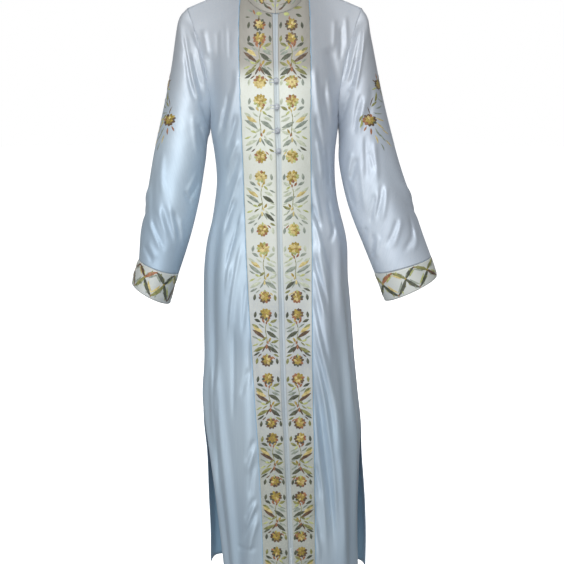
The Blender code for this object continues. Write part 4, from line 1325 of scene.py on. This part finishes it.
# stitched hems and slits: how far inside the edge, and the slits' heights
hemShape = {"inside": 0.013, "slitInside": 0.007, "slit": (-1.40, -0.965), "points": 24}
for facing, out in (("front", ahead), ("back", -ahead)):
    bm = newStitching()
    for side in ("right", "left"):
        sign = signs[side]
        tree = treeOf(panels[f"{facing}_{side}"])
        beside = Placer(tree, lambda y, z, s=sign: (Vector((s * 0.4, y, z)), Vector((s, 0.0, 0.0))))
        slit = edgeRows(beside, np.arange(*hemShape["slit"], 0.015),
                        out.y * np.arange(0.10, -0.03, -0.001))
        inside = out.y * hemShape["slitInside"]
        addStitches(bm, beside, [(row[2] + inside, row[0]) for row in slit])
        placer = Placer(tree, lambda x, z, o=out: (Vector((x, 0.0, z)) + o * 0.4, o))
        (_, first, last), = edgeRows(placer, hemShape["slit"][:1],
                                     sign * np.arange(-0.06, 0.30, 0.001))
        hem = []
        for x in np.linspace(first + sign * 0.004, last - sign * 0.010, hemShape["points"]):
            found = [z for z in np.arange(-1.445, -1.38, 0.001) if placer.at(x, z)]
            if found:
                hem.append((x, found[0] + hemShape["inside"]))
        addStitches(bm, placer, hem)
    finishStitching(bm, f"{facing}HemStitching")
print("cuffs, collar and hems stitched")

# sewn seams: a fine cord through the middle of two walls, wherever their edges meet
seamShape = {"radius": 0.0011, "reach": 0.0018, "step": 0.008,
             "armhole": (0.0, -0.17), "armholeRadius": 0.11, "shoulder": -0.17}


def seamRoute(first, second, order):    # order gives the way along the seam, in metres
    points = pointsOf(first.data)
    near = np.array([p for p in points if second.find_nearest(Vector(p), seamShape["reach"])[0]])
    places = np.round(order(near) / seamShape["step"])
    return [near[places == place].mean(axis=0) for place in np.unique(places)]


def downwards(points):      # out along the shoulder, then down the side
    return np.where(points[:, 2] > seamShape["shoulder"], np.abs(points[:, 0]), 1.0 - points[:, 2])


def aroundArmhole(points):
    away = points[:, 1:] - seamShape["armhole"]
    return np.arctan2(away[:, 0], -away[:, 1]) * seamShape["armholeRadius"]


seams = {"shoulderSeams": [], "sideSeams": [], "armholeSeams": [], "centreBackSeam": []}
seams["centreBackSeam"].append(
    seamRoute(panels["back_left"], treeOf(panels["back_right"]), lambda p: p[:, 2]))
for side in signs:
    front, back = panels[f"front_{side}"], panels[f"back_{side}"]
    route = seamRoute(front, treeOf(back), downwards)
    seams["shoulderSeams"].append([p for p in route if p[2] > seamShape["shoulder"]])
    seams["sideSeams"].append([p for p in route if p[2] <= seamShape["shoulder"]])
    seams["armholeSeams"].append(seamRoute(sleeves[side], treeOf(front, back), aroundArmhole))
for name, routes in seams.items():
    cordObject(name, routes, seamShape["radius"], satinBody)
print("seams sewn")

# the spray on each upper arm, across in metres out from the arm's front line
sprayTurns = {"left": 0.0, "right": 0.016}
sprayFlowers = ((0.014, -0.291, 1.15), (0.052, -0.213, 1.0))
# leaves by tone, across, z, angle, length, width
sprayLeaves = (
    ("lime", -0.004, -0.296, 78, 24, 7.0), ("olive", -0.001, -0.286, 60, 20, 4.5),
    ("brown", 0.016, -0.270, 100, 18, 2.4), ("brown", 0.026, -0.250, 62, 24, 2.2),
    ("olive", 0.036, -0.240, 70, 24, 6.0), ("olive", 0.030, -0.256, 40, 18, 5.0),
    ("greyLeaf", 0.040, -0.262, 20, 20, 4.2), ("greyLeaf", 0.034, -0.276, -8, 22, 4.0),
    ("lightGold", 0.036, -0.290, -24, 22, 4.4), ("lightGold", 0.034, -0.304, -46, 22, 4.4),
    ("greyLeaf", 0.026, -0.318, -68, 22, 4.0), ("rust", 0.012, -0.316, -96, 16, 4.4),
    ("lightGold", 0.020, -0.334, -80, 20, 3.6), ("greyLeaf", 0.034, -0.330, -58, 24, 3.6),
    ("lightGold", 0.044, -0.318, -40, 20, 3.4), ("rust", 0.002, -0.310, -120, 13, 3.6),
    ("olive", 0.060, -0.232, -60, 16, 4.4), ("brown", 0.042, -0.206, 150, 16, 4.0),
    ("olive", 0.064, -0.198, 50, 18, 4.6), ("rust", 0.050, -0.194, 95, 12, 4.0),
    ("lime", 0.038, -0.222, 200, 14, 4.0), ("greyLeaf", 0.050, -0.248, -30, 20, 3.8),
    ("lightGold", 0.046, -0.344, -54, 20, 3.2), ("greyLeaf", 0.030, -0.352, -74, 18, 3.2),
)
sleeveRay = {"radius": 0.050, "far": 0.14}


def sleevePlacer(side):
    middle = sleeveMiddle(side)

    def rayAt(across, z):
        turn = across / sleeveRay["radius"]
        out = Vector((signs[side] * math.sin(turn), -math.cos(turn), 0.0))
        return Vector(middle(np.array([[0.0, 0.0, z]]))[0]) + out * sleeveRay["far"], out
    return Placer(treeOf(sleeves[side]), rayAt, sleeveRay["far"])


for side in signs:
    placer = sleevePlacer(side)
    more = sprayTurns[side]
    bm = newStitching()
    for across, z, size in sprayFlowers:
        addFlower(bm, placer, across + more, z, size, 15)
    for name, across, z, angle, length, width in sprayLeaves:
        if side == "right" and across < 0.0:    # on that arm these leaves are on the outer side
            across, angle = 0.028 - across, 180 - angle
        addLeaf(bm, placer, across + more, z, angle, length / 1000, width / 1000, name,
                bend=chance.uniform(-0.08, 0.08))
    finishStitching(bm, f"sleeve{side.title()}Embroidery")
print("sleeves embroidered")

cameraLook = {"place": (0.017, -2.35, -0.159), "tilt": 77.5, "lens": 63.83, "sensor": 36.0}
cameraData = bpy.data.cameras.new("photoCamera")
cameraData.lens = cameraLook["lens"]
cameraData.sensor_width = cameraLook["sensor"]
camera = newObject("photoCamera", cameraData)
camera.location = cameraLook["place"]
camera.rotation_euler = (math.radians(cameraLook["tilt"]), 0.0, 0.0)
scene.camera = camera

worldLight = 0.265
lampsAim = Vector((0.0, 0.0, -0.6))
lamps = {       # place, width, height, power
    "key": ((-0.25, -2.4, 0.15), 1.1, 2.4, 46.0),
    "low": ((-1.5, -1.6, -0.9), 0.9, 1.2, 7.5),
    "top": ((0.0, -1.9, 1.4), 1.0, 1.2, 25.0),
    "rear": ((0.4, 2.6, 1.0), 1.6, 2.0, 68.0),
}
white = (1.0, 1.0, 1.0, 1.0)
world = bpy.data.worlds.new("studio")
world.use_nodes = True
background = world.node_tree.nodes["Background"]
background.inputs["Color"].default_value = white
sky = Shade(world.node_tree, background.outputs[0])
seen = sky.node("ShaderNodeLightPath")      # white behind the kaftan, softer as a light
join(worldLight + seen * (1.0 - worldLight), background, "Strength")
scene.world = world
for name, (place, across, tall, power) in lamps.items():
    lamp = bpy.data.lights.new(name, "AREA")
    lamp.shape = "RECTANGLE"
    lamp.size = across
    lamp.size_y = tall
    lamp.energy = power
    holder = newObject(name, lamp)
    holder.location = place
    holder.rotation_euler = (lampsAim - Vector(place)).to_track_quat("-Z", "Y").to_euler()

scene.view_settings.view_transform = "Standard"
scene.view_settings.look = "None"

floorShape = {"radius": 14.0, "z": -1.485}
bm = bmesh.new()
bmesh.ops.create_circle(bm, cap_ends=True, segments=96, radius=floorShape["radius"])
bmesh.ops.translate(bm, verts=bm.verts, vec=(0.0, 0.0, floorShape["z"]))
floor = newObject("paleFloor", newMesh("paleFloor", bm))
floorMaterial, floorShade = newMaterial(
    "paleFloor", Roughness=0.9, Emission_Color=white, Emission_Strength=0.95)
grain = noise(floorShade, 3).mixed(colour(250, 250, 250), colour(247, 247, 248))
join(grain, floorShade.socket.node, "Base Color")
floor.data.materials.append(floorMaterial)
floor.visible_diffuse = floor.visible_glossy = False  # its white isn't thrown up on the cloth
print("camera, light and floor made")
